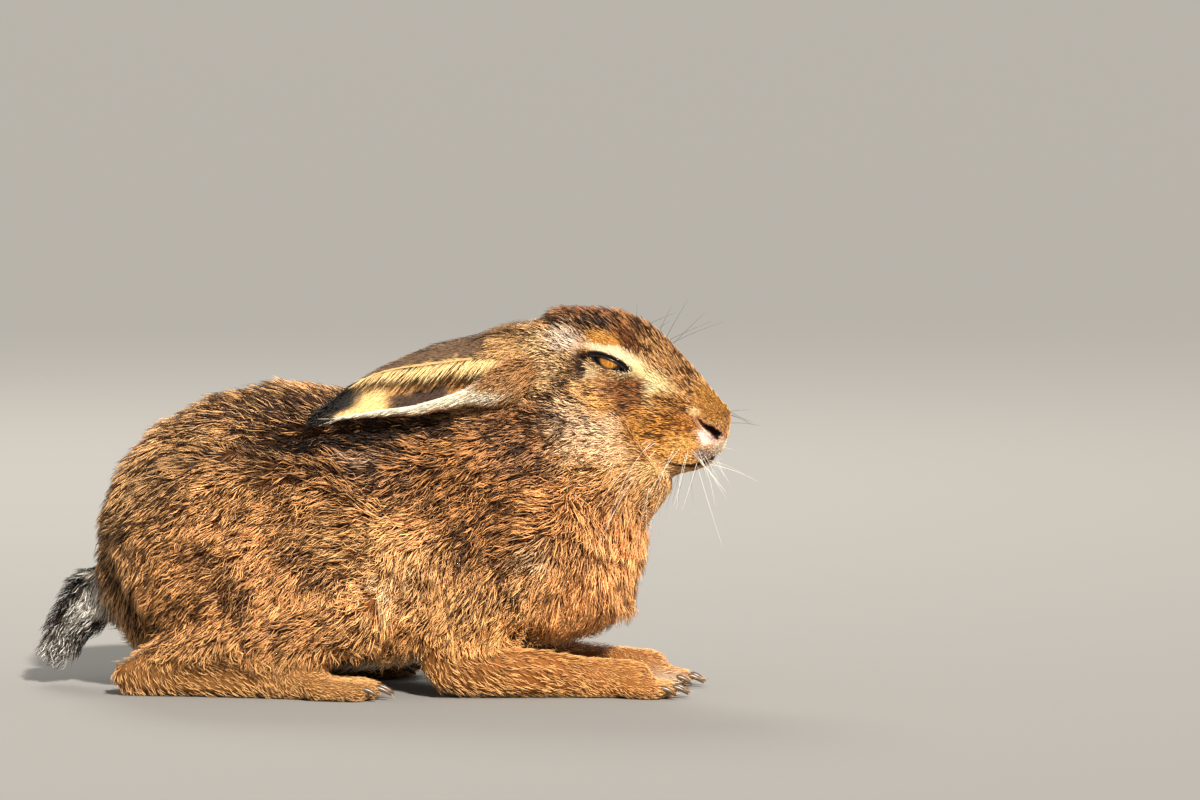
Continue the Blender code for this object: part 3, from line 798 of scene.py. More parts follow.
def tuft_mesh(name, roots, lie, length, width, lift, fall, sway, low, hair, tip_tone, clump=None):
    """Closed, tapered tufts. Each rises by `lift`, bends over to `fall` and sways to a side and back."""
    count = len(roots.points)
    across = unit(np.cross(roots.normals, lie))
    along = unit(np.cross(across, roots.normals))

    def aim(angle, bend):
        ahead, up = np.cos(angle)[:, None], np.sin(angle)[:, None]
        return along * ahead + roots.normals * up + across * bend[:, None]

    length, width = length[:, None], width[:, None]
    start = roots.points - roots.normals * ROOT_DEPTH
    first = start + aim(lift, 0.3 * sway) * length * RISE
    second = first + aim(0.5 * (lift + fall), sway) * length * RUN
    tip = second + aim(fall, -0.4 * sway) * length * (1 - RISE - RUN)
    if clump is not None:
        target, pull = clump
        tip = tip + (target - tip) * pull[:, None]
        second = second + (target - second) * pull[:, None] * 0.35
        first = first + (target - first) * pull[:, None] * 0.08
    points = np.empty((count, 8, 3))
    points[:, 0], points[:, 7] = start, tip
    for ring, centre, share in ((1, first, 1.0), (4, second, 0.68)):
        points[:, ring] = centre - across * width * 0.5 * share
        points[:, ring + 1] = centre + roots.normals * width * 0.4 * share
        points[:, ring + 2] = centre + across * width * 0.5 * share
    points[:, :, 2] = np.maximum(points[:, :, 2], FUR_FLOOR)
    faces = TUFT_FACES[None] + 8 * np.arange(count)[:, None, None]
    colours = np.stack([low, *[0.45 * low + 0.55 * hair] * 3, *[hair] * 3, tip_tone], axis=1)
    corner_uvs = roots.uvs[:, None, None] + PATCH * TUFT_UVS[TUFT_FACES][None]
    flat = (values.reshape(-1, 3) for values in (points, faces, colours))
    return mesh_of(name, *flat, corner_uvs.reshape(-1, 2))


def streaks(points, lie, size, seed):
    """A number from 0 to 1 for each point, alike within a streak about `size` wide along the lie."""
    offset = points - HEAD_ROOT
    squeezed = offset - STREAK_STRETCH * lie * np.sum(offset * lie, axis=1)[:, None]
    squeezed += 0.0008 * np.stack([noise(points, 0.004, seed + k) for k in range(3)], axis=1)
    return hashed(np.floor(squeezed / size[:, None]).astype(np.int64), seed)


def clumps(points, size, rng):
    """The seed that each point is nearest to, of seeds about `size` apart."""
    cells = np.floor(points / size).astype(np.int64)
    _, first = np.unique(cells, axis=0, return_index=True)
    seeds = points[np.sort(first)] + rng.normal(0, size * 0.2, (len(first), 3))
    tree = KDTree(len(seeds))
    for index, seed in enumerate(seeds):
        tree.insert(seed, index)
    tree.balance()
    nearest = np.array([tree.find(point)[1] for point in points])
    return seeds, nearest


def zones(points):
    """The piece of coat at each point: twice its key in ZONE_NAMES, and 1 more on the left."""
    head, side = to_head(points), points[:, 1] > 0
    zone = np.where(points[:, 0] > 0.045, 1, np.where(points[:, 0] > -0.045, 2, 3))
    zone = np.where(points[:, 2] < 0.034, 4, zone)
    on_head = (head[:, 0] > -0.004) & (head[:, 2] > -0.042 + 0.35 * np.minimum(head[:, 0] - 0.06, 0))
    zone = np.where(on_head, 5, zone)
    zone = np.where(on_head & (head[:, 0] > 0.052), 6, zone)
    return zone * 2 + side


ZONE_NAMES = {1: "chest", 2: "flank", 3: "rump", 4: "legs", 5: "crown", 6: "face"}
DENSITY = 0.52e6
DENSITIES = patches(
    """
body    0    0    0  .25  .15 .034 0  .2  260000
head .035    0 .005  .09  .06 .062 0  .2 1100000
head .082    0 .003 .046  .05  .05 0 .25 1300000
head .104    0 .003 .022  .03  .03 0  .3 2400000
body  .15 .032 .008 .045 .026 .022 0 .25  700000
body -.01 .062 .008 .045 .034  .02 0 .25  700000
body    0    0    0   .2  .05  .03 0  .2  180000
"""
)


CLUMP_SIZE, CLUMPING = 0.0046, 0.60  # and how far the tips of shaggy fur go to their clump's middle
LEAST_WIDTH, WIDTH_TO_LENGTH = 0.00030, 0.019
STREAK_SEEDS, PARTING_SEED, WOBBLE_SEEDS = (41, 57), 31, (21, 22, 23)
DARK_HAIR, DARK_TIP = linear((38, 24, 16)), linear((40, 26, 18))


def bare(places):
    """Where no fur grows: between the lids, in the nostrils, on the line of the mouth and underfoot."""
    head = to_head(places)
    open_eye = (dark_leaf(head) < 0.95) & (eye_gap(head) < 0.018)
    nostril = (line_gap(head, NOSTRIL) < 0.0003) & (head[:, 0] > 0.08)
    mouth = (line_gap(head, LIPS) < 0.0003) & (head[:, 0] > 0.075)
    return open_eye | nostril | mouth | (places[:, 2] < 0.0010)


def grow_coat(skin):
    """The fur of body and head. Where it is long it is shaggy: it stands up, wanders and clumps."""
    rng = np.random.default_rng(SEED)
    corner_uvs = unwrapped(skin)
    roots = scattered(*arrays(skin), corner_uvs, lambda p: blended(p, DENSITY, DENSITIES), rng)
    roots = roots.pick(~bare(roots.points))
    places = roots.points
    count = len(places)
    length = blended(places, LENGTH, LENGTHS)
    seeds, member = clumps(places, CLUMP_SIZE, rng)
    mine = rng.random((len(seeds), 6))[member]
    shaggy = step(length, 0.004, 0.011)
    wobble = [noise(places, 0.018, k) + 0.6 * noise(places, 0.008, k + 4) for k in WOBBLE_SEEDS]
    lie = lie_field(places) + 0.60 * shaggy[:, None] * np.stack(wobble, axis=1)
    run = unit(lie)
    lie += 0.50 * shaggy[:, None] * (mine[:, 0:3] - 0.5) + 0.17 * rng.normal(size=(count, 3))
    lie -= roots.normals * np.sum(lie * roots.normals, axis=1)[:, None]
    lie = unit(lie)
    spread = rng.random((count, 4))
    long = length * (0.75 + 0.35 * spread[:, 0] + 0.25 * (mine[:, 3] - 0.5))
    wide = (LEAST_WIDTH + WIDTH_TO_LENGTH * length) * (0.6 + 0.8 * spread[:, 1])
    stand = blended(places, 0.0, STANDING) * (0.4 + 1.2 * rng.random(count))
    lift = np.radians(24 + 14 * shaggy + stand + 12 * (spread[:, 2] - 0.5) + 14 * (mine[:, 4] - 0.5))
    fall = np.radians(8 + 9 * shaggy + stand + 14 * (spread[:, 3] - 0.5))
    sway = (0.10 + 0.28 * shaggy) * rng.normal(size=count)
    rise = long * (0.48 * np.sin(lift) + 0.52 * np.sin(fall))
    tips = places + lie * (long * 0.95)[:, None] + roots.normals * rise[:, None]
    members = np.maximum(np.bincount(member, minlength=len(seeds)), 1)
    target = summed(member, tips, len(seeds)) / members[:, None]
    stray = rng.normal(0, 1, (count, 3)) * (0.0006 + 0.0024 * shaggy)[:, None]
    tone_of = markings(places + stray)
    hair_tone, tip_tone = tone_of[:, 0:3], tone_of[:, 3:6]
    parting = shaggy * (noise(places, 0.013, PARTING_SEED) + 0.5 * noise(places, 0.005, PARTING_SEED + 1))
    darkness, brightness = (streaks(places, run, 0.0013 + 0.0012 * shaggy, seed) for seed in STREAK_SEEDS)
    dark = 0.45 * rng.random(count) + 0.55 * darkness - 0.16 * parting < tone_of[:, 6]
    bright = 0.98 + 0.10 * shaggy + (0.28 + 0.16 * shaggy) * (2 * rng.random(count) - 1)
    bright *= 1.04 + (0.40 + 0.28 * shaggy) * (brightness - 0.5) - 0.28 * parting
    hair = (0.40 * hair_tone + 0.60 * tip_tone) * bright[:, None]
    tip = 1.15 * tip_tone * bright[:, None]
    golden = (rng.random(count) < 0.22 * shaggy) & ~dark
    tip = np.where(golden[:, None], 0.4 * tip + 0.6 * GOLD, tip)
    tip = np.where(dark[:, None], DARK_HAIR * (0.6 + 1.6 * spread[:, 0:1]), tip)
    hair = np.where(dark[:, None], 0.20 * hair_tone + 0.5 * DARK_HAIR, hair)
    low = 0.16 * hair_tone + hair * (0.30 - 0.25 * shaggy + 0.6 * tone_of[:, 2] * (1 - shaggy))[:, None]
    zone, material = zones(places), coat_material("fur")
    for number in np.unique(zone):
        chosen = np.flatnonzero(zone == number)
        name = f"coat_{ZONE_NAMES[number // 2]}_{'left' if number % 2 else 'right'}"
        tufts = (values[chosen] for values in (lie, long, wide, lift, fall, sway, low, hair, tip))
        clump = target[member[chosen]], CLUMPING * shaggy[chosen]
        mesh = tuft_mesh(name, roots.pick(chosen), *tufts, clump)
        add(name, mesh, material)


# LID_SHADE: dark bare skin round the eye; over the opening it also paints the upper lid's shade.
LID_SHADE, FLESH_SHADE = linear((20, 13, 11)), linear((150, 104, 92))
NOSTRIL_SHADE, MOUTH_SHADE = linear((24, 13, 12)), linear((62, 40, 30))


def dress_skin(mesh):
    """Paints the skin: dimmed markings, bare skin in the nostrils and on the mouth, and dark skin round the
    eye with painted lid shade.
    """
    points, _, _ = arrays(mesh)
    tone_of, head = markings(points), to_head(points)
    slit, muzzle = line_gap(head, NOSTRIL), head[:, 0] > 0.08
    shades = (
        # dark bare skin round the eye, with painted shade of the upper lid in its band above the opening
        (LID_SHADE, (eye_gap(head) < 0.019) * (1 - step(dark_leaf(head), 0.96, 1.12))),
        (FLESH_SHADE, (1 - step(slit, 0.0004, 0.0022)) * muzzle),
        (NOSTRIL_SHADE, (1 - step(slit, -0.0004, 0.0003)) * muzzle),
        (MOUTH_SHADE, (1 - step(line_gap(head, LIPS), 0.0001, 0.0007)) * (head[:, 0] > 0.075)),
    )
    colour = tone_of[:, 0:3] * (0.38 + 0.50 * tone_of[:, 2:3])
    paint(mesh, layered(colour, shades))
    mesh.polygons.foreach_set("use_smooth", np.ones(len(mesh.polygons), bool))
    add("skin", mesh, coat_material("skin", 0.6, 0.25, 1400.0, 0.0006, 0.08), FLESH)


# Ears: share along, drop of the centre, half height, half depth and distance from the midline, angles
# of the front and back margins in degrees, and thickness of the wall
EAR_STATIONS = np.array(
    (
        (-0.06, 0.0000, 0.0080, 0.0050, 0.0150, 3, 357, 0.0040),
        (0.00, 0.0000, 0.0112, 0.0070, 0.0160, 3, 357, 0.0050),
        (0.07, 0.0000, 0.0160, 0.0092, 0.0175, 3, 357, 0.0070),
        (0.14, 0.0006, 0.0181, 0.0106, 0.0200, 3, 354, 0.0060),
        (0.23, 0.0026, 0.0182, 0.0108, 0.0225, 8, 334, 0.0036),
        (0.36, 0.0053, 0.0179, 0.0100, 0.0262, 13, 312, 0.0022),
        (0.56, 0.0104, 0.0176, 0.0088, 0.0322, 22, 302, 0.0018),
        (0.73, 0.0153, 0.0130, 0.0076, 0.0375, 44, 294, 0.0018),
        (0.87, 0.0212, 0.0082, 0.0056, 0.0420, 76, 284, 0.0016),
        (0.96, 0.0268, 0.0042, 0.0032, 0.0450, 98, 276, 0.0012),
        (0.995, 0.0297, 0.0018, 0.0014, 0.0458, 105, 270, 0.0008),
    )
)
EAR_ROOT = HEAD_ROOT + (0.0110, 0.0, 0.0055)
EAR_LENGTH, EAR_LEAN, EAR_FLARE = 0.120, math.radians(20.0), 0.30
EAR_ROWS, EAR_COLUMNS = 64, 32
EAR_DENSITY = 0.58e6
EAR_FUR, EAR_FRINGE, EAR_RIM = 0.0032, 0.0148, 0.0036  # lengths of the tufts
CUP_FILL = 0.75  # how far the folded ear's cup is filled, since its walls lie close together


def ear_surface(side):
    """Points, quads and, at each point, the share along the ear, the angle round it and 1 if inside."""
    fine = np.linspace(EAR_STATIONS[0, 0], EAR_STATIONS[-1, 0], 241)
    table = np.stack([np.interp(fine, EAR_STATIONS[:, 0], EAR_STATIONS[:, k]) for k in range(1, 8)], axis=1)
    window = np.hanning(21) / np.hanning(21).sum()
    padded = np.pad(table, ((10, 10), (0, 0)), mode="reflect", reflect_type="odd")
    table = np.stack([np.convolve(padded[:, k], window, "valid") for k in range(7)], axis=1)
    points, facts = [], []
    across = np.linspace(0, 1, EAR_COLUMNS + 1)
    for share in np.linspace(fine[0], fine[-1], EAR_ROWS + 1):
        drop, high, deep, out, front, back, wall = (np.interp(share, fine, table[:, k]) for k in range(7))
        angle = np.radians(front + (back - front) * across)
        flare = 1 + EAR_FLARE * np.maximum(0, across - 0.75) * 4 * min(1.0, max(0.0, share) * 4)
        for inner in (0, 1):
            thick = inner * wall * (0.30 + 0.70 * np.sin(math.pi * across) ** 0.6)
            y, z = (deep - thick) * np.cos(angle) * flare, (high - thick) * np.sin(angle)
            if inner:
                y = np.where(y < 0, y * (1 - CUP_FILL * min(1.0, max(0.0, (share - 0.10) * 5))), y)
            lean_y = y * math.cos(EAR_LEAN) - z * math.sin(EAR_LEAN)
            lean_z = y * math.sin(EAR_LEAN) + z * math.cos(EAR_LEAN)
            row = np.stack([np.full_like(angle, -share * EAR_LENGTH), out + lean_y, lean_z - drop], axis=1)
            fact = [np.full_like(angle, share), np.degrees(angle), np.full_like(angle, inner)]
            fact = np.stack(fact, axis=1)
            points.append(row[::-1] if inner else row)
            facts.append(fact[::-1] if inner else fact)
    ring = 2 * (EAR_COLUMNS + 1)
    points = np.concatenate(points) + EAR_ROOT
    facts = np.concatenate(facts)
    quads = []
    for row in range(EAR_ROWS):
        i = np.arange(ring)
        j = (i + 1) % ring
        quads.append(np.stack([i, j, j + ring, i + ring], axis=1) + row * ring)
    ends = np.arange(EAR_COLUMNS)
    flip = ring - 1 - ends
    first = np.stack([ends, flip, flip - 1, ends + 1], axis=1)
    last = first[:, ::-1] + EAR_ROWS * ring
    quads = np.concatenate([*quads, first, last])
    if side < 0:
        points = points * (1, -1, 1)
    else:
        quads = quads[:, ::-1]
    return points, quads, facts


def ear_margins(share):
    """Angles of the ear's front and back margins at a share along it."""
    return tuple(np.interp(share, EAR_STATIONS[:, 0], EAR_STATIONS[:, k]) for k in (5, 6))


EAR_TONES = {
    name: np.array(tone(*values))
    for name, values in {
        "grizzled": ((128, 98, 72), (226, 186, 142), 0.50),
        "golden": ((230, 178, 116), (255, 230, 172), 0.20),
        "umber": ((140, 98, 60), (226, 180, 120), 0.42),
        "neck": ((196, 140, 88), (252, 214, 154), 0.26),
        "cream": ((244, 200, 132), (255, 234, 180), 0.02),
        "white": ((255, 244, 218), (255, 250, 232), 0.0),
        "brown": ((94, 66, 44), (172, 128, 84), 0.70),
        "tawny": ((196, 142, 84), (236, 188, 124), 0.16),
        "black": ((30, 21, 17), (48, 34, 26), 0.55),
        "fringe": ((246, 208, 144), (255, 238, 190), 0.02),
    }.items()
}


def ear_tone(facts, points, seed=5):
    """Marking of the ear at each point, with painted shadow in its fold: hair colour, tip colour and the
    share of dark hairs.
    """
    rough = noise(points, 0.006, seed) + 0.6 * noise(points, 0.002, seed + 1)
    share, angle, inner = facts[:, 0] + 0.022 * rough, facts[:, 1] + 8 * rough, facts[:, 2] > 0.5
    front, back = ear_margins(share)

    def ears(base, *layers):
        return layered(EAR_TONES[base], [(EAR_TONES[name], weight) for name, weight in layers])

    flare = 16 * step(share, 0.24, 0.30) * (1 - step(share, 0.36, 0.46))
    base = 1 - step(share, 0.22, 0.32)
    tuft = step(share, 0.10, 0.21) * (1 - step(share, 0.26, 0.32))
    outer = ears(
        "grizzled",
        ("cream", 1 - step(angle - front, 3, 8)),
        ("neck", step(angle, 190, 230)),
        ("white", step(angle, back - 34 - flare, back - 20 - flare)),
        ("golden", base * (1 - step(angle, 40, 62))),
        ("umber", base * step(angle, 46, 66) * (1 - step(angle, 150, 180))),
        ("neck", base * step(angle, 175, 215)),
        ("white", tuft * step(angle, 268, 280) * (1 - step(angle, 300, 312))),
    )
    upper = step(share, 0.24, 0.32) * (1 - step(share, 0.62, 0.74)) * (1 - step(angle, 225, 262))
    patch = step(share, 0.40, 0.45) * (1 - step(share, 0.65, 0.73))
    # slit: painted shadow in the ear's fold, a brown band just under the fringe of the front margin
    slit = step(share, 0.40, 0.45) * (1 - step(share, 0.62, 0.68))
    inside = ears(
        "cream",
        ("tawny", upper),
        ("brown", patch * step(angle, 186, 200) * (1 - step(angle, back - 52, back - 36))),
        # painted shadow under the front margin, in the brown of the patch; the patch above is the ear's own
        # dark hair
        ("brown", np.maximum(slit, 0.35 * step(share, 0.2, 0.3)) * (1 - step(angle, 164, 178))),
        ("white", step(angle, back - 36 - flare, back - 20 - flare)),
        ("golden", 1 - step(share, 0.20, 0.28)),
        ("black", step(share, 0.78, 0.86) * (1 - step(angle, 190, 225))),
    )
    value = np.where(inner[:, None], inside, outer)
    tip = step(share, 0.78, 0.85) * np.where(inner, step(share, 0.89, 0.94), 1.0)
    tip = tip * (1 - 0.8 * step(angle, back - 24, back - 12) * (share < 0.93))
    return layered(value, [(EAR_TONES["black"], tip)])


def build_ear(side, label):
    """An ear's skin, its short fur, the fringe of its front margin and the white rim of its back one."""
    points, quads, facts = ear_surface(side)
    mesh = mesh_of(f"ear_skin_{label}", points, quads)
    corner_uvs = unwrapped(mesh.copy())
    points, triangles, normals = arrays(mesh)
    tones = ear_tone(facts, points)
    paint(mesh, tones[:, 0:3] * (0.80 - 0.60 * tones[:, 6:7]))
    add(mesh.name, mesh, coat_material(f"ear_{label}", 0.7, 0.25, 1500.0, 0.0004), (f"ear_{label}",))
    rng = np.random.default_rng(SEED + 1 + (side > 0))
    shares = facts[:, 0][triangles].mean(axis=1)
    inward = facts[:, 2][triangles].mean(axis=1) > 0.5
    on_margin = facts[:, 1][triangles].mean(axis=1) < ear_margins(shares)[0] + 8
    crowd = np.where(inward, EAR_DENSITY * 0.9, EAR_DENSITY) * (1 + 0.6 * (shares < 0.3))
    crowd *= 1 + 3.4 * on_margin
    roots = scattered(points, triangles, normals, corner_uvs, lambda p: crowd, rng)
    where = roots.read(facts)
    share, angle, inner = where.T
    front, back = ear_margins(share)
    fringe = (angle < front + 5) & (inner < 0.5) & (share > 0.08) & (share < 0.93)
    rim = (angle > back - 10) & (share > 0.10)
    count = len(share)
    base = 1 - step(share, 0.16, 0.34)
    beyond = step(share, 0.84, 0.97)
    down = np.array((0.0, 0.30 * side, -0.95))
    along = np.tile(np.array((-1.0, 0.24 * side, -0.22)), (count, 1))
    lie = along + (0.12 + 0.16 * base[:, None]) * rng.normal(size=(count, 3))
    lie += np.where(inner[:, None] > 0.5, 0.4 * down, 0.0)
    lie += 0.25 * base[:, None] * down - 0.35 * beyond[:, None] * (0, side, 0)
    lie = np.where(fringe[:, None], along * 0.70 + down * 0.80 + 0.09 * rng.normal(size=(count, 3)), lie)
    lie = np.where(rim[:, None], along * 0.9 + down * 0.25 + 0.08 * rng.normal(size=(count, 3)), lie)
    off_skin = np.sum(lie * roots.normals, axis=1)[:, None]
    lie -= roots.normals * off_skin * np.where(fringe, 0.6, 1.0)[:, None]
    lie = unit(lie)
    spread = rng.random((count, 4))
    long = np.where(fringe, EAR_FRINGE, np.where(rim, EAR_RIM, EAR_FUR)) * (0.7 + 0.6 * spread[:, 0])
    long = long * np.where(fringe, 1 - 0.65 * step(share, 0.55, 0.92), 1.0)
    long += 0.0024 * ((angle > 60) & (inner < 0.5)) + 0.0055 * base * ~fringe + 0.0085 * beyond
    wide = 0.00026 + 0.015 * long
    lift = np.radians(np.where(fringe, 6, 14) + 12 * spread[:, 1] + 12 * base)
    fall = np.radians(np.where(fringe, -6, 3) + 8 * spread[:, 2])
    sway = np.where(fringe, 0.10, 0.05) * rng.normal(size=count)
    tone_of = ear_tone(where, roots.points)
    tone_of = np.where((fringe & (share > 0.16) & (share < 0.80))[:, None], EAR_TONES["fringe"], tone_of)
    streak = streaks(roots.points, lie, np.full(count, 0.0011), 71)
    dark = 0.5 * rng.random(count) + 0.5 * streak < tone_of[:, 6]
    pale = tone_of[:, 2:3]
    bright = 1 + (0.7 - 0.5 * pale) * (streak - 0.5)[:, None]
    bright = bright + (0.10 + 0.35 * (1 - pale)) * (2 * rng.random(count) - 1)[:, None]
    hair, tip = tone_of[:, 0:3] * bright, tone_of[:, 3:6] * bright
    tip = np.where(dark[:, None], DARK_TIP, tip)
    hair = np.where(dark[:, None], hair * 0.32, hair)
    name = f"coat_ear_{label}"
    coat = tuft_mesh(name, roots, lie, long, wide, lift, fall, sway, hair * (0.5 + 0.4 * pale), hair, tip)
    add(name, coat, coat_material(f"ear_fur_{label}"))


# Eyes: globe, iris and lids


def ball(centre, axis, radius, rings=80, segments=64, bulge=0.0):
    """A sphere whose pole looks along the axis, with the angle from the pole at each point."""
    axis = np.asarray(axis, float) / np.linalg.norm(axis)
    side = np.cross(axis, (0, 0, 1.0))
    side /= np.linalg.norm(side)
    up = np.cross(side, axis)
    tilt = math.pi * (np.arange(1, rings) / rings) ** 1.25
    turn = math.tau * np.arange(segments) / segments
    swell = 1 + bulge * np.exp(-((tilt / 0.60) ** 4))
    spokes = np.cos(turn)[:, None] * side + np.sin(turn)[:, None] * up
    grid = [centre + radius * w * (math.cos(a) * axis + math.sin(a) * spokes) for a, w in zip(tilt, swell)]
    points = np.concatenate([[centre + radius * (1 + bulge) * axis], *grid, [centre - radius * axis]])
    faces = []
    ids = 1 + np.arange((rings - 1) * segments).reshape(rings - 1, segments)
    for near, far in zip(ids, ids[1:]):
        faces.append(np.stack([near, far, np.roll(far, -1)], axis=1))
        faces.append(np.stack([near, np.roll(far, -1), np.roll(near, -1)], axis=1))
    faces.append(np.stack([np.zeros(segments, int), ids[0], np.roll(ids[0], -1)], axis=1))
    faces.append(np.stack([np.full(segments, len(points) - 1), np.roll(ids[-1], -1), ids[-1]], axis=1))
    angles = np.concatenate([[0.0], np.repeat(tilt, segments), [math.pi]])
    turns = np.concatenate([[0.0], np.tile(turn, rings - 1), [0.0]])
    return points, np.concatenate(faces), angles, turns


IRIS_ANGLE, PUPIL_ANGLE = math.radians(35.0), math.radians(6.0)
AMBER, GOLDEN_AMBER = linear((134, 80, 22)), linear((198, 136, 52))
# DARK_BALL: the ball beyond the iris, near black as painted shade of the lids over the corners of the
# opening.
IRIS_EDGE, DARK_BALL, PUPIL = linear((34, 18, 8)), linear((16, 11, 9)), linear((10, 8, 8))
GAZE = (0.08, 1.0, 0.24)  # where the left eye looks


def build_eye(side, label):
    axis = np.array(GAZE) * (1, side, 1)
    points, faces, angle, turn = ball(EYE * (1, side, 1), axis, EYE_RADIUS - 0.0003, bulge=0.02)
    streak = noise(np.stack([np.cos(turn) * 4, np.sin(turn) * 4, angle * 1.5], axis=1), 0.35, 7)
    iris = AMBER + (GOLDEN_AMBER - AMBER) * np.clip(0.5 + 0.6 * streak, 0, 1)[:, None]
    layers = (
        (IRIS_EDGE, step(angle, IRIS_ANGLE * 0.74, IRIS_ANGLE)),
        # painted shade of the lids on the ball beyond the iris
        (DARK_BALL, step(angle, IRIS_ANGLE, IRIS_ANGLE * 1.06)),
        (PUPIL, 1 - step(angle, PUPIL_ANGLE * 0.94, PUPIL_ANGLE * 1.06)),
    )
    mesh = mesh_of(f"eyeball_{label}", points, faces)
    paint(mesh, layered(iris, layers))
    made = Nodes(f"eye_{label}")
    tint = made.node("ShaderNodeVertexColor", layer_name="coat").outputs["Color"]
    flecks = made.scaled(made.noise(2600.0, 2.0), 0.75, 1.25)
    made.link(made.times(tint, flecks), made.shader.inputs["Base Color"])
    made.set(Roughness=0.35, Coat_Weight=0.45, Coat_Roughness=0.05, Specular_IOR_Level=0.2)
    add(mesh.name, mesh, made.material, (f"eye_{label}",))


def tube_mesh(name, lines, radii, sides=6):
    """Round tapered tubes, closed at both ends, one along each line of points."""
    points, faces, start = [], [], 0
    turn = math.tau * np.arange(sides) / sides
    for line, radius in zip(lines, radii):
        line, radius = np.asarray(line, float), np.asarray(radius, float)
        ahead = unit(np.gradient(line, axis=0))
        side = unit(np.cross(ahead, (0.3, 0.1, 1.0)))
        up = np.cross(side, ahead)
        spokes = np.cos(turn)[None, :, None] * side[:, None] + np.sin(turn)[None, :, None] * up[:, None]
        ring = line[:, None] + radius[:, None, None] * spokes
        points.extend((ring.reshape(-1, 3), line[[0, -1]]))
        ids = start + np.arange(len(line) * sides).reshape(len(line), sides)
        for near, far in zip(ids, ids[1:]):
            faces.append(np.stack([near, np.roll(near, -1), np.roll(far, -1)], axis=1))
            faces.append(np.stack([near, np.roll(far, -1), far], axis=1))
        root, tip = start + len(line) * sides, start + len(line) * sides + 1
        faces.append(np.stack([np.full(sides, root), np.roll(ids[0], -1), ids[0]], axis=1))
        faces.append(np.stack([np.full(sides, tip), ids[-1], np.roll(ids[-1], -1)], axis=1))
        start = tip + 1
    return mesh_of(name, np.concatenate(points), np.concatenate(faces))


def on_skin(tree, along, up, side, out=0.0):
    """The point of the head's side that lies at a place given in the head's axes."""
    start = from_head(((along, 0.10, up),))[0] * (1, side, 1)
    hit = tree.ray_cast(Vector(start), Vector((0, -side, 0)))[0]
    if hit is None:
        hit = Vector(from_head(((along, 0.0, up),))[0])
    return np.array(hit) + (0, side * out, 0)


LASHES, LASH_LENGTH, LASH_RADIUS = 26, (0.0022, 0.0042), 0.00012
RIM_POINTS = 40


def build_lids(tree, side, label):
    """The dark wet rims of both lids, and the lashes of the upper one."""
    lines, radii = [], []
    for way, thick in ((1, 0.00070), (-1, 0.00060)):
        turn = np.linspace(0.02, math.pi - 0.02, RIM_POINTS)
        along = EYE_IN_HEAD[0] + 1.05 * LID_REACH * np.cos(turn)
        up = EYE_IN_HEAD[2] + LID_LIFT + way * 1.05 * LID_OPENING * np.sin(turn) ** 1.29
        line = np.array([on_skin(tree, a, u, side, 0.0) for a, u in zip(along, up)])
        offset = line - EYE * (1, side, 1)
        reach = np.linalg.norm(offset, axis=1)
        line += unit(offset) * np.maximum(0, EYE_RADIUS + 0.00025 - reach)[:, None]
        padded = np.pad(line, ((3, 3), (0, 0)), mode="edge")
        line = sum(padded[k : k + len(line)] for k in range(7)) / 7
        lines.append(line)
        radii.append(thick * (0.35 + 0.65 * np.sin(turn) ** 0.5))
        if way > 0:
            upper = line
    rng = np.random.default_rng(SEED + 5)
    for place in rng.uniform(4, 35, LASHES):
        root = np.array([np.interp(place, np.arange(RIM_POINTS), upper[:, k]) for k in range(3)])
        ahead, rise = 0.35 + 0.25 * rng.normal(), -0.15 + 0.25 * rng.normal()
        way = np.array((ahead, 0.75, rise)) @ TURN * (1, side, 1)
        part = np.linspace(0, 1, 6)[:, None]
        droop = 0.30 * part**2 * np.array((0, 0, -1.0))
        lines.append(root + rng.uniform(*LASH_LENGTH) * (part * way + droop))
        radii.append(LASH_RADIUS * (1 - 0.8 * part[:, 0]))
    mesh = tube_mesh(f"lid_rims_{label}", lines, radii, 8)
    made = Nodes(f"lid_{label}")
    made.mottled(made.noise(900.0), linear((13, 9, 8)), linear((34, 23, 18)))
    made.set(Roughness=0.30, Specular_IOR_Level=0.5)
    add(mesh.name, mesh, made.material)


# Claws: start of the middle of the toes, reach, spacing and radius, as on the solids
FOOT_SHIFT = HEAD_ROOT - (0.070, 0.0, 0.175)
TOES = {
    "hind_foot": ((-0.036, 0.0640, 0.0078), 0.023, 0.0078, 0.0068),
    "forepaw": ((0.130, 0.0320, 0.0072), 0.014, 0.0066, 0.0060),
}
TOE_ARCH, CLAW_LENGTH = 0.0027, 0.0056


def build_claws(side, label):
    lines, radii = [], []
    for start, length, spacing, radius in TOES.values():
        for step_out in (-1.5, -0.5, 0.5, 1.5):
            root = np.array(start) + (0, spacing * step_out, 0) + FOOT_SHIFT
            tip = root + (length + TOE_ARCH * (2.25 - step_out**2), spacing * step_out * 0.25, -0.001)
            part = np.linspace(0, 1, 9)[:, None]
            reach = radius + CLAW_LENGTH
            line = tip + (0.30 + 0.70 * part) * (reach, 0, 0) + (0, 0, 1) * (0.0014 - 0.0038 * part**2)
            lines.append(line * (1, side, 1))
            radii.append(0.0016 * (1 - part[:, 0]) ** 0.6 + 0.0003)
    mesh = tube_mesh(f"claws_{label}", lines, radii, 10)
    made = Nodes(f"claw_{label}")
    made.mottled(made.noise(260.0, 3.0, (0.3, 1.0, 1.0)), linear((44, 32, 26)), linear((112, 88, 66)))
    made.set(Roughness=0.32, Specular_IOR_Level=0.5)
    add(mesh.name, mesh, made.material)


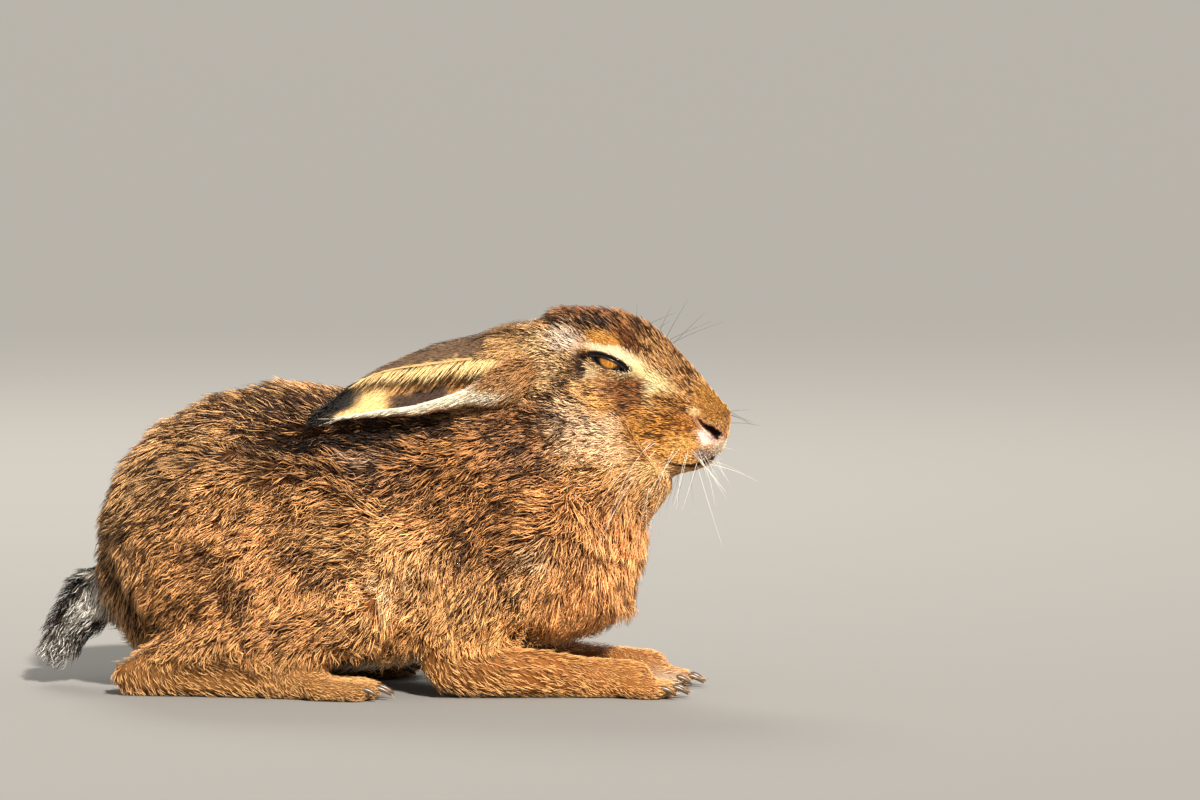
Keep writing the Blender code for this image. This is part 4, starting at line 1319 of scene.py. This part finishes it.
# Whiskers: name, hairs of a side, place along and up (from, to), direction in the head's axes, spread
# of the direction, length (from, to), droop, colour
WHISKERS = table(
    """
pad   12 .094  .11  -.01     0  .85  .6 -.25 .26 .012 .028  .2 250 244 230
lip    6 .088 .106 -.013 -.004   .3  .7 -.75 .24  .02 .042 .15 246 238 224
long   6 .074 .086 -.012 -.004 -.55 .75 -.75 .18 .048 .066  .4 255 252 244
chin   5 .082 .098 -.021 -.017    0 .35   -1 .16 .026 .044  .1 232 222 204
nose   5 .096 .108  .012  .024  .75  .5   .3 .22 .012 .024 .15  60  42  32
brow   5 .042 .064  .033  .042  .35  .4   .9 .34 .022 .036 .08  44  32  26
cheek  3  .03  .04 -.014 -.006  -.3  .9  -.4 .16  .02 .028  .3  84  60  42
"""
)


def build_whiskers(tree):
    rng = np.random.default_rng(SEED + 9)
    for name, row in WHISKERS:
        fan, droop, colour = row[8], row[11], linear(row[12:])
        lines, radii = [], []
        for side in (-1, 1):
            for _ in range(int(row[0])):
                root = on_skin(tree, rng.uniform(*row[1:3]), rng.uniform(*row[3:5]), side, -0.0008)
                aim = (row[5:8] + rng.normal(0, fan, 3)) @ TURN * (1, side, 1)
                aim /= np.linalg.norm(aim)
                length, part = rng.uniform(*row[9:11]), np.linspace(0, 1, 12)[:, None]
                bend = np.array((rng.normal(0, 0.06), rng.normal(0, 0.06), -droop)) * part**2
                lines.append(root + length * part * aim + length * bend)
                radii.append(0.00009 * (1 - part[:, 0]) ** 0.7 + 0.00002)
        mesh = tube_mesh(f"whiskers_{name}", lines, radii, 5)
        made = Nodes(f"whisker_{name}")
        made.mottled(made.noise(300.0), 0.75 * colour, colour)
        made.set(Roughness=0.45)
        add(mesh.name, mesh, made.material)


# Floor, light and camera


def aimed(name, data, spot, way):
    """A lamp or the camera, turned to look along a direction."""
    obj = put(name, data)
    obj.location = spot
    obj.rotation_mode = "QUATERNION"
    obj.rotation_quaternion = way.to_track_quat("-Z", "Y")
    return obj


def lamp(name, kind, spot, way, energy, colour):
    data = bpy.data.lights.new(name, kind)
    data.energy, data.color = energy, colour
    aimed(name, data, spot, way)
    return data


AIM = Vector((0.1198, 0.0, 0.1578))
CAMERA_AZIMUTH, CAMERA_ELEVATION = math.radians(8.0), math.radians(4.0)
CAMERA_DISTANCE, CAMERA_LENS = 5.4, 300.0


FLOOR_REACH = 60.0
SUN, RIM = Vector((1.2, -2.4, 1.85)), Vector((-0.6, 1.8, 1.6))


def studio():
    spots = FLOOR_REACH * np.array(((-1, -1, 0), (1, -1, 0), (1, 1, 0), (-1, 1, 0)), float)
    floor = put("floor", mesh_of("floor", spots, np.array([[0, 1, 2, 3]])))
    ground = Nodes("ground")
    ground.set(Base_Color=(0.25, 0.245, 0.235, 1.0), Roughness=0.9)
    floor.data.materials.append(ground.material)
    world = bpy.data.worlds.new("studio")
    bpy.context.scene.world = world
    world.use_nodes = True
    sky = world.node_tree.nodes["Background"].inputs
    sky["Color"].default_value = (1.0, 0.97, 0.93, 1.0)
    sky["Strength"].default_value = 0.50
    lamp("key", "SUN", SUN, -SUN, 7.1, (1.0, 0.94, 0.85)).angle = math.radians(3.0)
    rim = lamp("rim", "AREA", RIM, Vector((0, 0, 0.12)) - RIM, 26.0, (1.0, 0.95, 0.86))
    rim.shape, rim.size = "DISK", 1.0
    camera = bpy.data.cameras.new("camera")
    camera.sensor_width = 36.0
    camera.lens = CAMERA_LENS
    camera.clip_end = 200.0
    level = math.cos(CAMERA_ELEVATION)
    across, behind = math.sin(CAMERA_AZIMUTH) * level, -math.cos(CAMERA_AZIMUTH) * level
    back = Vector((across, behind, math.sin(CAMERA_ELEVATION)))
    bpy.context.scene.camera = aimed("camera", camera, AIM + back * CAMERA_DISTANCE, -back)
    bpy.context.scene.view_settings.view_transform = "Standard"


skin_mesh = build_skin()
points, triangles, _ = arrays(skin_mesh)
tree = BVHTree.FromPolygons(points.tolist(), triangles.tolist())
dress_skin(skin_mesh)
grow_coat(skin_mesh.copy())
for side, label in zip((1, -1), SIDES):
    build_ear(side, label)
    build_eye(side, label)
    build_lids(tree, side, label)
    build_claws(side, label)
build_whiskers(tree)
studio()
